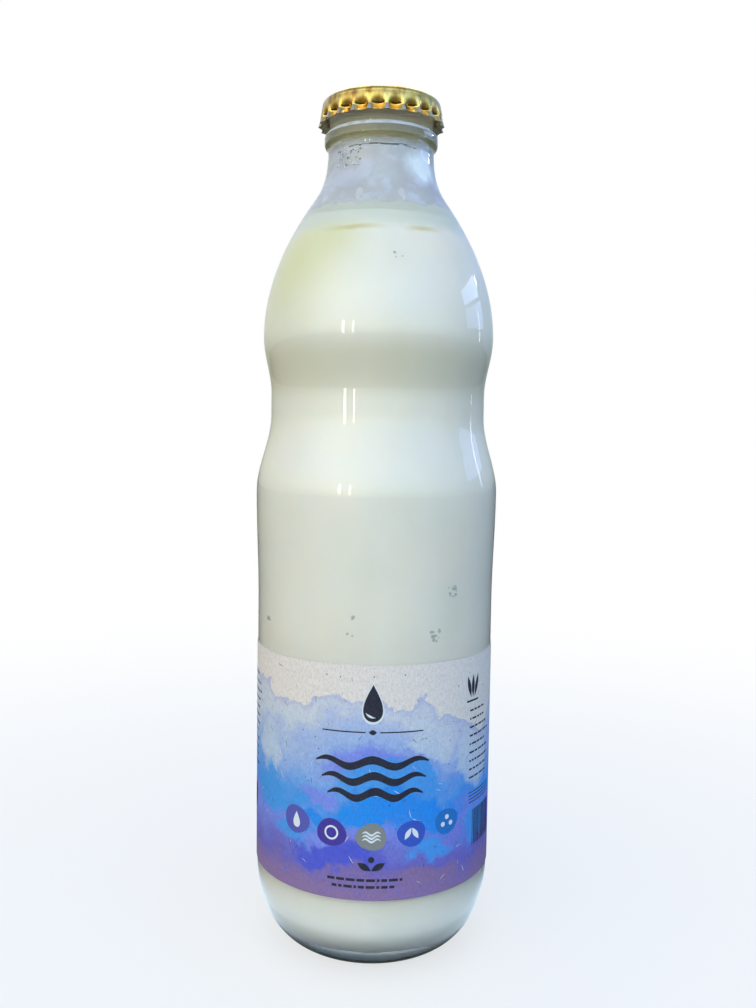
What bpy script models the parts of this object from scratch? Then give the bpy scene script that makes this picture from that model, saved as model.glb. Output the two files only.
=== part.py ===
"""A one-kilogram glass bottle of plain yogurt, shut with a fluted crown cap and wrapped in a paper label.

The bottle stands on the origin with its axis on +Z and the middle of the label facing -Y.
Every size below is in millimetres; the meshes are made in metres.
"""

import math

import bmesh
import bpy

MM = 0.001

# Round pieces: one facet spans STEP_DEG, and the glass, the yogurt and the label share it
FACETS = 40
STEP_DEG = 360 / FACETS
MERGE_M = 0.0001
CLEARANCE = 0.3

# Glass outline: height, radius and slope (radius gained for each millimetre of height)
PANEL_RADIUS = 40.2
HEEL_TOP = 29.2
PANEL_TOP = 118.0
RIDGE = (154.5, 41.0, 0.0)
WAIST_LOW = (179.7, 36.2, 0.0)
WAIST_HIGH = (187.5, 36.2, 0.0)
BULGE = (205.8, 38.84, 0.0)
SHOULDER = (251.2, 22.25, -0.708)
NECK = (267.6, 17.7, -0.02)

# Foot: a flat ring to stand on, round a shallow hollow
FOOT_INNER = 19.5
FOOT_OUTER = 22.75
FOOT_HOLLOW = 3.5
HEEL_POWER = 2.16

# Neck finish: the carrying bead, the recess above it and the lip that the cap grips
BEAD_RADIUS = 19.0
BEAD_BOTTOM = 268.7
BEAD_TOP = 273.8
BEAD_LOWER_CORNER = 1.6
BEAD_UPPER_CORNER = 1.9
RECESS_RADIUS = 17.4
RECESS_BOTTOM = 274.1
RECESS_TOP = 278.2
LIP_RADIUS = 18.5
LIP_UNDERSIDE = 280.4
LIP_TOP = 283.5
LIP_CORNER = 2.0
MOUTH_RADIUS = 15.0
MOUTH_CORNER = 1.0

# Wall and floor of the glass
WALL = 2.85
INNER_FLOOR = 7.0
INNER_DOME = 1.6
INNER_HEEL_TOP = 31.5
INNER_FLAT = 12.0
INNER_HEEL_POWER = 2.25

# Yogurt
FILL_HEIGHT = 245.2
MENISCUS_RISE = 0.9
MENISCUS_WIDTH = 2.6

# Cap
CAP_TOP = 284.2
CAP_SHEET = 0.4
CAP_FLUTES = 23
CAP_FIRST_VALLEY_DEG = -3.2
CAP_DISC_RADIUS = 18.2
CAP_SHOULDER = 1.7
CAP_SKIRT_TOP = 282.2
CAP_RIM_HEIGHT = 276.2
CAP_RIM_RADIUS = 21.4
CAP_VALLEY_HEIGHT = 278.2
CAP_VALLEY_DEPTH = 2.2
CAP_RIM_DEPTH = 1.15
SKIRT_HEIGHTS = (CAP_SKIRT_TOP, 280.8, 279.4, CAP_VALLEY_HEIGHT, CAP_RIM_HEIGHT)
FLUTE_PLACES = (-1.0, -0.72, -0.36, 0.0, 0.36, 0.72)

# Label: a strip of paper wrapped round the panel, its outer end lapped over the inner one at the back
LABEL_BOTTOM = 28.3
LABEL_TOP = 103.0
LABEL_GAP = 0.2
LABEL_PAPER = 0.25
LAP_GAP = 0.1
LAP_START_DEG = 90.0


def clear_scene():
    for obj in list(bpy.data.objects):
        bpy.data.objects.remove(obj)


def finish(name, colour, roughness, metallic=0.0, transmission=0.0):
    """A plain material for one piece."""
    material = bpy.data.materials.new(name)
    material.use_nodes = True
    shader = material.node_tree.nodes["Principled BSDF"]
    shader.inputs["Base Color"].default_value = (*colour, 1.0)
    shader.inputs["Roughness"].default_value = roughness
    shader.inputs["Metallic"].default_value = metallic
    shader.inputs["Transmission Weight"].default_value = transmission
    return material


def add_object(name, mesh, material, sharp_deg=35.0):
    mesh.materials.append(material)
    mesh.shade_smooth()
    mesh.set_sharp_from_angle(angle=math.radians(sharp_deg))
    obj = bpy.data.objects.new(name, mesh)
    bpy.context.scene.collection.objects.link(obj)
    return obj


def blend_radius(height, start, end):
    """Radius at a height on the cubic that joins two (height, radius, slope) stations."""
    span = end[0] - start[0]
    t = (height - start[0]) / span
    from_start = (2 * t**3 - 3 * t**2 + 1) * start[1] + (t**3 - 2 * t**2 + t) * span * start[2]
    from_end = (3 * t**2 - 2 * t**3) * end[1] + (t**3 - t**2) * span * end[2]
    return from_start + from_end


def stretch(start, end, steps):
    """Points (radius, height) from one station to the next, leaving out the first."""
    heights = [start[0] + (end[0] - start[0]) * i / steps for i in range(1, steps + 1)]
    return [(blend_radius(height, start, end), height) for height in heights]


def arc(centre, radius, start_deg, end_deg, steps):
    """Points (radius, height) of an arc; 0 degrees faces outward and 90 degrees up."""
    points = []
    for i in range(steps + 1):
        angle = math.radians(start_deg + (end_deg - start_deg) * i / steps)
        points.append((centre[0] + radius * math.cos(angle), centre[1] + radius * math.sin(angle)))
    return points


def heel(inner, outer, low, high, power, steps):
    """Points of a rounded heel, from the flat at its foot up to the upright wall."""
    points = []
    for i in range(steps + 1):
        angle = math.pi / 2 * i / steps
        out = math.sin(angle) ** (2 / power)
        up = 1 - math.cos(angle) ** (2 / power)
        points.append((inner + (outer - inner) * out, low + (high - low) * up))
    return points


def wall_stretches(step_counts):
    """The outside of the glass from the top of the heel to the neck, as (radius, height) points."""
    stations = [(PANEL_TOP, PANEL_RADIUS, 0.0), RIDGE, WAIST_LOW, WAIST_HIGH, BULGE, SHOULDER, NECK]
    points = [(PANEL_RADIUS, HEEL_TOP), (PANEL_RADIUS, PANEL_TOP)]
    for start, end, steps in zip(stations, stations[1:], step_counts):
        points += stretch(start, end, steps)
    return points


def inset(points, distance):
    """The same outline moved in along its normals by a distance."""
    moved = []
    for i, (radius, height) in enumerate(points):
        before = points[max(i - 1, 0)]
        after = points[min(i + 1, len(points) - 1)]
        run = (after[0] - before[0], after[1] - before[1])
        length = math.hypot(*run)
        moved.append((radius - distance * run[1] / length, height + distance * run[0] / length))
    return moved


def glass_outside():
    """From the middle of the foot's hollow to the top of the lip."""
    hollow = [(FOOT_INNER * t, FOOT_HOLLOW * (1 - t * t)) for t in (0.0, 0.5, 0.85)]
    foot = [(FOOT_INNER, 0.0)]
    base = heel(FOOT_OUTER, PANEL_RADIUS, 0.0, HEEL_TOP, HEEL_POWER, 7)
    side = wall_stretches((3, 6, 1, 5, 8, 4))[1:]
    low_centre = (BEAD_RADIUS - BEAD_LOWER_CORNER, BEAD_BOTTOM + BEAD_LOWER_CORNER)
    high_centre = (BEAD_RADIUS - BEAD_UPPER_CORNER, BEAD_TOP - BEAD_UPPER_CORNER)
    bead = arc(low_centre, BEAD_LOWER_CORNER, -65, 0, 2) + arc(high_centre, BEAD_UPPER_CORNER, 0, 80, 3)
    recess = [(RECESS_RADIUS, RECESS_BOTTOM), (RECESS_RADIUS, RECESS_TOP)]
    lip = [(LIP_RADIUS, LIP_UNDERSIDE)]
    lip += arc((LIP_RADIUS - LIP_CORNER, LIP_TOP - LIP_CORNER), LIP_CORNER, 0, 90, 3)
    return hollow + foot + base + side + bead + recess + lip


def glass_inside(inset_by):
    """The inside of the glass from the neck down to the middle of the floor, moved in by inset_by."""
    side = inset(wall_stretches((2, 4, 1, 4, 6, 3)), WALL + inset_by)
    upright = [point for point in side if point[1] > INNER_HEEL_TOP + 1.0]
    floor = INNER_FLOOR + inset_by
    outer = PANEL_RADIUS - WALL - inset_by
    base = heel(INNER_FLAT, outer, floor, INNER_HEEL_TOP, INNER_HEEL_POWER, 6)
    return upright[::-1] + base[::-1] + [(0.0, floor + INNER_DOME)]


def profile_mesh(name, profile):
    """The edges of a profile of (radius, height) points, in the plane of X and Z."""
    mesh = bpy.data.meshes.new(name)
    vertices = [(radius * MM, 0.0, height * MM) for radius, height in profile]
    edges = [(i, i + 1) for i in range(len(vertices) - 1)]
    mesh.from_pydata(vertices, edges, [])
    return mesh


def add_turned(name, profile, material):
    """A solid of revolution. The profile starts and ends on the axis and runs down its outer side."""
    obj = add_object(name, profile_mesh(name, profile), material)
    screw = obj.modifiers.new("Turn", "SCREW")
    screw.steps = screw.render_steps = FACETS
    screw.use_merge_vertices = True
    screw.merge_threshold = MERGE_M
    screw.use_smooth_shade = True
    return obj


def make_glass():
    mouth = arc((MOUTH_RADIUS + MOUTH_CORNER, LIP_TOP - MOUTH_CORNER), MOUTH_CORNER, 90, 180, 2)
    outline = glass_outside() + mouth + glass_inside(0.0)
    material = finish("Clear glass", (0.86, 0.91, 0.90), 0.04, transmission=1.0)
    return add_turned("glass_bottle", outline[::-1], material)


def radius_on(points, height):
    """Radius at a height on an outline of (radius, height) points that only goes down."""
    for upper, lower in zip(points, points[1:]):
        if lower[1] <= height <= upper[1]:
            share = (height - lower[1]) / (upper[1] - lower[1])
            return lower[0] + share * (upper[0] - lower[0])
    raise ValueError("the outline doesn't reach this height")


def make_yogurt():
    """The filling, just clear of the glass, with its level turned up a little at the wall."""
    wall = glass_inside(CLEARANCE)
    rim_height = FILL_HEIGHT + MENISCUS_RISE
    rim_radius = radius_on(wall, rim_height)
    surface = [
        (0.0, FILL_HEIGHT),
        (rim_radius - MENISCUS_WIDTH, FILL_HEIGHT),
        (rim_radius - MENISCUS_WIDTH * 0.35, FILL_HEIGHT + MENISCUS_RISE * 0.3),
        (rim_radius, rim_height),
    ]
    side = [point for point in wall if point[1] < rim_height - 1.0]
    material = finish("Plain yogurt", (0.89, 0.89, 0.82), 0.35)
    return add_turned("yogurt", surface + side, material)


def flute_depth(height):
    """How far a valley of the cap's skirt lies inside its ridges at a height."""
    if height >= CAP_VALLEY_HEIGHT:
        t = (CAP_SKIRT_TOP - height) / (CAP_SKIRT_TOP - CAP_VALLEY_HEIGHT)
        return CAP_VALLEY_DEPTH * t * t * (3 - 2 * t)
    t = (CAP_VALLEY_HEIGHT - height) / (CAP_VALLEY_HEIGHT - CAP_RIM_HEIGHT)
    return CAP_VALLEY_DEPTH + (CAP_RIM_DEPTH - CAP_VALLEY_DEPTH) * t


def skirt_radius(height):
    """Radius of the ridges, which flare from the shoulder to the rim."""
    t = (CAP_SKIRT_TOP - height) / (CAP_SKIRT_TOP - CAP_RIM_HEIGHT)
    start = CAP_DISC_RADIUS + CAP_SHOULDER
    return start + (CAP_RIM_RADIUS - start) * t


def ring_of(mesh, height, radius_at):
    """One ring of vertices round the cap, with radius_at giving the radius at each place in a flute."""
    pitch = 2 * math.pi / CAP_FLUTES
    first = math.radians(CAP_FIRST_VALLEY_DEG - 90)
    ring = []
    for flute in range(CAP_FLUTES):
        for place in FLUTE_PLACES:
            angle = first + pitch * (flute + place / 2)
            radius = radius_at(place)
            ring.append(mesh.verts.new((radius * math.cos(angle) * MM, radius * math.sin(angle) * MM, height * MM)))
    return ring


def cap_rings(mesh):
    """Rings of the cap's sheet from the disc's edge, over the shoulder and down the fluted skirt."""
    rings = []
    drop = CAP_TOP - CAP_SKIRT_TOP
    for angle in (90, 60, 30):
        height = CAP_TOP - drop * (1 - math.sin(math.radians(angle)))
        radius = CAP_DISC_RADIUS + CAP_SHOULDER * math.cos(math.radians(angle))
        rings.append(ring_of(mesh, height, lambda place, radius=radius: radius))
    for height in SKIRT_HEIGHTS:
        ridge = skirt_radius(height)
        depth = flute_depth(height)
        rings.append(ring_of(mesh, height, lambda place, r=ridge, d=depth: r - d * (1 - abs(place) ** 2.4)))
    return rings


def make_cap():
    """The sheet metal crown: a disc, a rounded shoulder and a fluted skirt that flares at the rim."""
    shell = bmesh.new()
    rings = cap_rings(shell)
    middle = shell.verts.new((0.0, 0.0, CAP_TOP * MM))
    count = len(rings[0])
    for i in range(count):
        after = (i + 1) % count
        shell.faces.new((middle, rings[0][i], rings[0][after]))
        for upper, lower in zip(rings, rings[1:]):
            shell.faces.new((upper[i], lower[i], lower[after], upper[after]))
    mesh = bpy.data.meshes.new("crown_cap")
    shell.to_mesh(mesh)
    shell.free()
    cap = add_object("crown_cap", mesh, finish("Gold lacquered steel", (0.83, 0.62, 0.22), 0.22, 1.0), 50.0)
    sheet = cap.modifiers.new("Sheet", "SOLIDIFY")
    sheet.thickness = CAP_SHEET * MM
    sheet.offset = -1.0
    sheet.use_even_offset = False
    sheet.use_rim = True
    return cap


def label_path():
    """Angle in degrees and inner radius of the paper at each facet, from its inner end to its outer end."""
    close = PANEL_RADIUS + LABEL_GAP
    lifted = close + LABEL_PAPER + LAP_GAP
    path = [(LAP_START_DEG + STEP_DEG * i, close) for i in range(FACETS)]
    path += [(LAP_START_DEG + STEP_DEG * i, lifted) for i in (FACETS, FACETS + 1)]
    return path


def make_label():
    """The strip is drawn as its cross-section, seen from above, and extruded from the bottom edge to the top."""
    def corner(degrees, radius):
        angle = math.radians(degrees)
        return (radius * math.cos(angle) * MM, radius * math.sin(angle) * MM, LABEL_BOTTOM * MM)

    paper = bmesh.new()
    path = label_path()
    inner = [paper.verts.new(corner(degrees, radius)) for degrees, radius in path]
    outer = [paper.verts.new(corner(degrees, radius + LABEL_PAPER)) for degrees, radius in path]
    for i in range(len(path) - 1):
        paper.faces.new((inner[i], inner[i + 1], outer[i + 1], outer[i]))
    raised = bmesh.ops.extrude_face_region(paper, geom=paper.faces[:])
    top = [item for item in raised["geom"] if isinstance(item, bmesh.types.BMVert)]
    bmesh.ops.translate(paper, verts=top, vec=(0.0, 0.0, (LABEL_TOP - LABEL_BOTTOM) * MM))
    bmesh.ops.recalc_face_normals(paper, faces=paper.faces[:])
    mesh = bpy.data.meshes.new("paper_label")
    paper.to_mesh(mesh)
    paper.free()
    return add_object("paper_label", mesh, finish("Printed paper", (0.45, 0.52, 0.78), 0.75))


def main():
    clear_scene()
    make_glass()
    make_yogurt()
    make_cap()
    make_label()


main()
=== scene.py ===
"""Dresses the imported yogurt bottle: clear glass, the yogurt in it, a gold crown cap, a printed paper label
and a plain studio.

The bottle stands on the origin with its axis on +Z, and the middle of the label's front faces -Y.
Constants ending in _MM are millimetres, and everything handed to Blender is in metres.
"""

import math
import random

import bmesh
import bpy
from bpy.props import FloatProperty, FloatVectorProperty, IntProperty, PointerProperty
from mathutils import Matrix, Vector


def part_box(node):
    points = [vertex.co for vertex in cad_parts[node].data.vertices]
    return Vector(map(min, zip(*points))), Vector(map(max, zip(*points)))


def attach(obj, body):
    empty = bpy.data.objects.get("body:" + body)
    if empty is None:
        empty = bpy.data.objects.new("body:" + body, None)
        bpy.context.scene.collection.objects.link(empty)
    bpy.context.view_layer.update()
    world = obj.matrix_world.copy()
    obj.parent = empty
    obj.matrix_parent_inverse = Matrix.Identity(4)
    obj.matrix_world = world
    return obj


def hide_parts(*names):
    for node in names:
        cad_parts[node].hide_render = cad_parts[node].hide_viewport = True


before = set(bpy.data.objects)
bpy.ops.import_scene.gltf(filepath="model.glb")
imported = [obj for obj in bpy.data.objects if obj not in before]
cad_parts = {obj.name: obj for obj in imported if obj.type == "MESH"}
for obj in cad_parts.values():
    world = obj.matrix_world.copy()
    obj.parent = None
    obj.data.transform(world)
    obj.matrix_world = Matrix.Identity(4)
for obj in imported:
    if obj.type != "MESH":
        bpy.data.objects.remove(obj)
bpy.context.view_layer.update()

bl_info = {
    "name": "Yogurt Bottle",
    "version": (1, 0, 0),
    "blender": (4, 5, 0),
    "location": "3D View > Sidebar > Yogurt Bottle",
    "description": "Makes a waisted glass bottle of plain yogurt, its cap, its label and a studio stage",
    "category": "Add Mesh",
}

MM = 0.001
BODY = "root"

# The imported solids, in metres
GLASS_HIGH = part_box("glass_bottle")[1]
YOGURT_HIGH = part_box("yogurt")[1]
CAP_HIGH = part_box("crown_cap")[1]
LABEL_LOW, LABEL_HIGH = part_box("paper_label")

# Outline of the glass in millimetres: height, radius and slope (radius gained for each millimetre of height)
PANEL_RADIUS_MM = 40.2
HEEL_TOP_MM = 29.2
PANEL_TOP_MM = 118.0
RIDGE_MM = (154.5, GLASS_HIGH.x / MM, 0.0)
WAIST_LOW_MM = (179.7, 36.2, 0.0)
WAIST_HIGH_MM = (187.5, 36.2, 0.0)
BULGE_MM = (205.8, 38.84, 0.0)
SHOULDER_MM = (251.2, 22.25, -0.708)
NECK_MM = (267.6, 17.7, -0.02)
SHELL_STATIONS_MM = (
    (PANEL_TOP_MM, PANEL_RADIUS_MM, 0.0), RIDGE_MM, WAIST_LOW_MM, WAIST_HIGH_MM,
    BULGE_MM, SHOULDER_MM, NECK_MM,
)

# Foot and heel
FOOT_INNER_MM = 19.5
FOOT_OUTER_MM = 22.75
FOOT_HOLLOW_MM = 3.5
FOOT_EDGE_MM = 0.6
HEEL_POWER = 2.16
INNER_FLOOR_MM = 7.0
INNER_DOME_MM = 1.6
INNER_HEEL_TOP_MM = 31.5
INNER_FLAT_MM = 12.0
INNER_HEEL_POWER = 2.25
INNER_FLOOR_WALL_MM = 2.85

# Neck finish: the carrying bead, the recess above it and the lip under the cap
BEAD_RADIUS_MM = 19.0
BEAD_BOTTOM_MM = 268.7
BEAD_TOP_MM = 273.8
BEAD_LOWER_CORNER_MM = 1.6
BEAD_UPPER_CORNER_MM = 1.9
RECESS_RADIUS_MM = 17.4
RECESS_TOP_MM = 278.2
LIP_RADIUS_MM = 18.5
LIP_UNDERSIDE_MM = 280.4
LIP_TOP_MM = GLASS_HIGH.z / MM
LIP_CORNER_MM = 2.0
MOUTH_RADIUS_MM = 15.0
MOUTH_CORNER_MM = 1.0

# The yogurt and its film are sunk this far into the wall, so that they wet the glass with no air between
WETTED_MM = 0.12
FILM_SUNK_MM = 0.16
FILM_SKIN_MM = 0.03
FILM_LAP_MM = 1.0
FILM_TOP_MM = 281.0
CRUST_HEIGHT_MM = 266.9
CRUST_SAG_MM = 0.9
CRUST_PEAK_DEG = 8
CURDS_BETWEEN_MM = (259.5, 266.5)
CURDS_PER_M2 = 900000.0
RIM_RISE_MM = 0.9

# Crown cap
CAP_DISC_RADIUS_MM = 18.2
CAP_SHOULDER_MM = 1.7
CAP_SKIRT_TOP_MM = 282.2
CAP_VALLEY_HEIGHT_MM = 278.2
CAP_RIM_HEIGHT_MM = 276.2
CAP_RIM_DEPTH_MM = 1.15
CAP_SCOOP_POWER = 2.4
CAP_RIDGE_POWER = 2.2
CAP_CREASE_MM = 0.14
CAP_STEPS_PER_FLUTE = 12

# Label
LABEL_RADIUS_MM = PANEL_RADIUS_MM + 0.1
LABEL_ROUND = math.tau * LABEL_RADIUS_MM * MM
LAP_DEG = 9.0
LAP_RISE_DEG = 5.0


def paint(red, green, blue):
    """A colour given as display values from 0 to 255, made linear for Blender."""
    def linear(value):
        share = value / 255
        return share / 12.92 if share <= 0.04045 else ((share + 0.055) / 1.055) ** 2.4

    return (linear(red), linear(green), linear(blue))


def colour_setting(name, description, red, green, blue):
    """A colour that a user may change, its default given as display values from 0 to 255."""
    return FloatVectorProperty(
        name=name, description=description, default=paint(red, green, blue), subtype="COLOR"
    )


def length_setting(name, description, metres):
    """A length that a user may change."""
    return FloatProperty(name=name, description=description, default=metres, unit="LENGTH")


# Outlines


def blend_radius(height, start, end):
    """Radius at a height on the cubic that joins two (height, radius, slope) stations."""
    span = end[0] - start[0]
    t = (height - start[0]) / span
    from_start = (2 * t**3 - 3 * t**2 + 1) * start[1] + (t**3 - 2 * t**2 + t) * span * start[2]
    from_end = (3 * t**2 - 2 * t**3) * end[1] + (t**3 - t**2) * span * end[2]
    return from_start + from_end


def side_of_shell(step_mm=2.0):
    """Points (radius, height) of the glass's outside from the top of the heel up to the neck."""
    points = [(PANEL_RADIUS_MM, HEEL_TOP_MM), (PANEL_RADIUS_MM, PANEL_TOP_MM)]
    for start, end in zip(SHELL_STATIONS_MM, SHELL_STATIONS_MM[1:]):
        steps = max(2, math.ceil((end[0] - start[0]) / step_mm))
        heights = [start[0] + (end[0] - start[0]) * i / steps for i in range(1, steps + 1)]
        points += [(blend_radius(height, start, end), height) for height in heights]
    return points


def arc(centre, radius, start_deg, end_deg, steps):
    """Points of an arc; 0 degrees faces outward, or to the right on the label, and 90 degrees up."""
    points = []
    for i in range(steps + 1):
        angle = math.radians(start_deg + (end_deg - start_deg) * i / steps)
        points.append((centre[0] + radius * math.cos(angle), centre[1] + radius * math.sin(angle)))
    return points


def heel(inner, outer, low, high, power, steps):
    """Points of a rounded heel, from the flat at its foot up to the upright wall."""
    points = []
    for i in range(steps + 1):
        angle = math.pi / 2 * i / steps
        out = math.sin(angle) ** (2 / power)
        up = 1 - math.cos(angle) ** (2 / power)
        points.append((inner + (outer - inner) * out, low + (high - low) * up))
    return points


def inset(points, distance):
    """The same outline moved in along its normals by a distance."""
    moved = []
    for i, (radius, height) in enumerate(points):
        before = points[max(i - 1, 0)]
        after = points[min(i + 1, len(points) - 1)]
        run = (after[0] - before[0], after[1] - before[1])
        length = math.hypot(*run)
        moved.append((radius - distance * run[1] / length, height + distance * run[0] / length))
    return moved


def glass_outside():
    """From the middle of the foot's hollow up the outside to the top of the lip."""
    shares = (0.0, 0.2, 0.4, 0.6, 0.75, 0.88, 0.96)
    hollow = [(FOOT_INNER_MM * t, FOOT_HOLLOW_MM * (1 - t * t)) for t in shares]
    edge = arc((FOOT_INNER_MM + FOOT_EDGE_MM, FOOT_EDGE_MM), FOOT_EDGE_MM, -160, -90, 4)
    base = heel(FOOT_OUTER_MM, PANEL_RADIUS_MM, 0.0, HEEL_TOP_MM, HEEL_POWER, 28)
    side = side_of_shell()[1:]
    low_centre = (BEAD_RADIUS_MM - BEAD_LOWER_CORNER_MM, BEAD_BOTTOM_MM + BEAD_LOWER_CORNER_MM)
    high_centre = (BEAD_RADIUS_MM - BEAD_UPPER_CORNER_MM, BEAD_TOP_MM - BEAD_UPPER_CORNER_MM)
    bead = arc(low_centre, BEAD_LOWER_CORNER_MM, -65, 0, 6) + arc(high_centre, BEAD_UPPER_CORNER_MM, 0, 80, 8)
    recess = [(RECESS_RADIUS_MM + 0.15, BEAD_TOP_MM + 0.1), (RECESS_RADIUS_MM, BEAD_TOP_MM + 0.4)]
    recess += [(RECESS_RADIUS_MM, RECESS_TOP_MM), (RECESS_RADIUS_MM + 0.15, RECESS_TOP_MM + 0.5)]
    lip = [(LIP_RADIUS_MM, LIP_UNDERSIDE_MM)]
    lip += arc((LIP_RADIUS_MM - LIP_CORNER_MM, LIP_TOP_MM - LIP_CORNER_MM), LIP_CORNER_MM, 0, 90, 8)
    return hollow + edge + base + side + bead + recess + lip


def glass_inside(wall_mm):
    """The inside of the glass from the neck down to the middle of its floor, wall_mm in from the outside."""
    deeper = wall_mm - INNER_FLOOR_WALL_MM
    side = inset(side_of_shell(), wall_mm)
    upright = [point for point in side if point[1] > INNER_HEEL_TOP_MM + 1.0]
    floor = INNER_FLOOR_MM + deeper
    base = heel(INNER_FLAT_MM, PANEL_RADIUS_MM - wall_mm, floor, INNER_HEEL_TOP_MM, INNER_HEEL_POWER, 24)
    dome = [(INNER_FLAT_MM * t, floor + INNER_DOME_MM * (1 - t * t)) for t in (0.75, 0.5, 0.25, 0.0)]
    return upright[::-1] + base[::-1] + dome


def radius_on(points, height):
    """Radius at a height on an outline of (radius, height) points that only goes down."""
    for upper, lower in zip(points, points[1:]):
        if lower[1] <= height <= upper[1]:
            share = (height - lower[1]) / (upper[1] - lower[1])
            return lower[0] + share * (upper[0] - lower[0])
    raise ValueError("the outline doesn't reach this height")


# Node trees


def feed(tree, node, inputs):
    """Gives a node's inputs their values: a socket is linked, and a colour may be three numbers."""
    for key, value in inputs.items():
        socket = node.inputs[key]
        if isinstance(value, bpy.types.NodeSocket):
            tree.links.new(value, socket)
        elif socket.type == "RGBA":
            socket.default_value = (*value, 1.0)
        else:
            socket.default_value = value


def add_node(tree, kind, inputs=None, **settings):
    """A node with its settings and its inputs."""
    node = tree.nodes.new(kind)
    for name, value in settings.items():
        setattr(node, name, value)
    feed(tree, node, inputs or {})
    return node


def maths(tree, operation, *values, clamp=False):
    """The result of a Math node."""
    node = add_node(tree, "ShaderNodeMath", dict(enumerate(values)), operation=operation, use_clamp=clamp)
    return node.outputs[0]


def times(tree, first, second, clamp=False):
    return maths(tree, "MULTIPLY", first, second, clamp=clamp)


def plus(tree, first, second, clamp=False):
    return maths(tree, "ADD", first, second, clamp=clamp)


def minus(tree, first, second):
    return maths(tree, "SUBTRACT", first, second)


def over(tree, first, second):
    return maths(tree, "DIVIDE", first, second)


def vector_maths(tree, operation, *vectors):
    """The result of a Vector Math node, which is a number where it measures."""
    node = add_node(tree, "ShaderNodeVectorMath", dict(enumerate(vectors)), operation=operation)
    return node.outputs["Value" if operation in ("DISTANCE", "DOT_PRODUCT", "LENGTH") else "Vector"]


def parts_of(tree, vector):
    """The three coordinates of a vector."""
    return add_node(tree, "ShaderNodeSeparateXYZ", {0: vector}).outputs


def ramp(tree, value, low, high, start=0.0, end=1.0):
    """A value mapped smoothly from low..high to start..end."""
    inputs = {"Value": value, "From Min": low, "From Max": high, "To Min": start, "To Max": end}
    return add_node(tree, "ShaderNodeMapRange", inputs, interpolation_type="SMOOTHSTEP").outputs[0]


def fading(tree, value, low, high):
    """A mask that is 1 up to low and falls smoothly to 0 at high."""
    return ramp(tree, value, low, high, 1.0, 0.0)


def mix_colours(tree, share, first, second, blend="MIX"):
    """Two colours mixed by a share from 0 to 1. A colour is a socket or three numbers."""
    inputs = {0: share, 6: first, 7: second}
    return add_node(tree, "ShaderNodeMix", inputs, data_type="RGBA", blend_type=blend).outputs[2]


def sway(tree, noise_inputs, wander):
    """Noise that wanders to either side of nothing, by half of wander at most."""
    noise = add_node(tree, "ShaderNodeTexNoise", noise_inputs)
    return times(tree, minus(tree, noise.outputs[0], 0.5), wander)


def new_tree(name, kind, inputs, outputs):
    """A node group, its given values and its end node. Inputs are (name, socket's kind, default)."""
    tree = bpy.data.node_groups.new(name, kind)
    for title, socket_kind, default in inputs:
        socket = tree.interface.new_socket(title, in_out="INPUT", socket_type="NodeSocket" + socket_kind)
        if default is not None:
            socket.default_value = default
    for title, socket_kind in outputs:
        tree.interface.new_socket(title, in_out="OUTPUT", socket_type="NodeSocket" + socket_kind)
    return tree, tree.nodes.new("NodeGroupInput").outputs, tree.nodes.new("NodeGroupOutput")


def new_geometry_tree(name, *inputs):
    inputs = (*inputs, ("Finish", "Material", None))
    return new_tree(name, "GeometryNodeTree", inputs, [("Geometry", "Geometry")])


def new_mask_tree(name, *inputs, masks=("Mask",)):
    inputs = (("Vector", "Vector", None), *inputs)
    return new_tree(name, "ShaderNodeTree", inputs, [(mask, "Float") for mask in masks])


def end_tree(tree, given, result, geometry):
    """Ends a geometry tree with real geometry in the piece's own material."""
    real = add_node(tree, "GeometryNodeRealizeInstances", {"Geometry": geometry})
    finish = add_node(
        tree, "GeometryNodeSetMaterial", {"Geometry": real.outputs[0], "Material": given["Finish"]}
    )
    feed(tree, result, {0: finish.outputs[0]})
    return tree


def placed_round(tree, geometry, radius, turn, height):
    """Moves a mesh's points to their places round the bottle's axis."""
    place = add_node(
        tree, "ShaderNodeCombineXYZ",
        {
            "X": times(tree, radius, maths(tree, "COSINE", turn)),
            "Y": times(tree, radius, maths(tree, "SINE", turn)),
            "Z": height,
        },
    )
    inputs = {"Geometry": geometry, "Position": place.outputs[0]}
    return add_node(tree, "GeometryNodeSetPosition", inputs).outputs[0]


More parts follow.
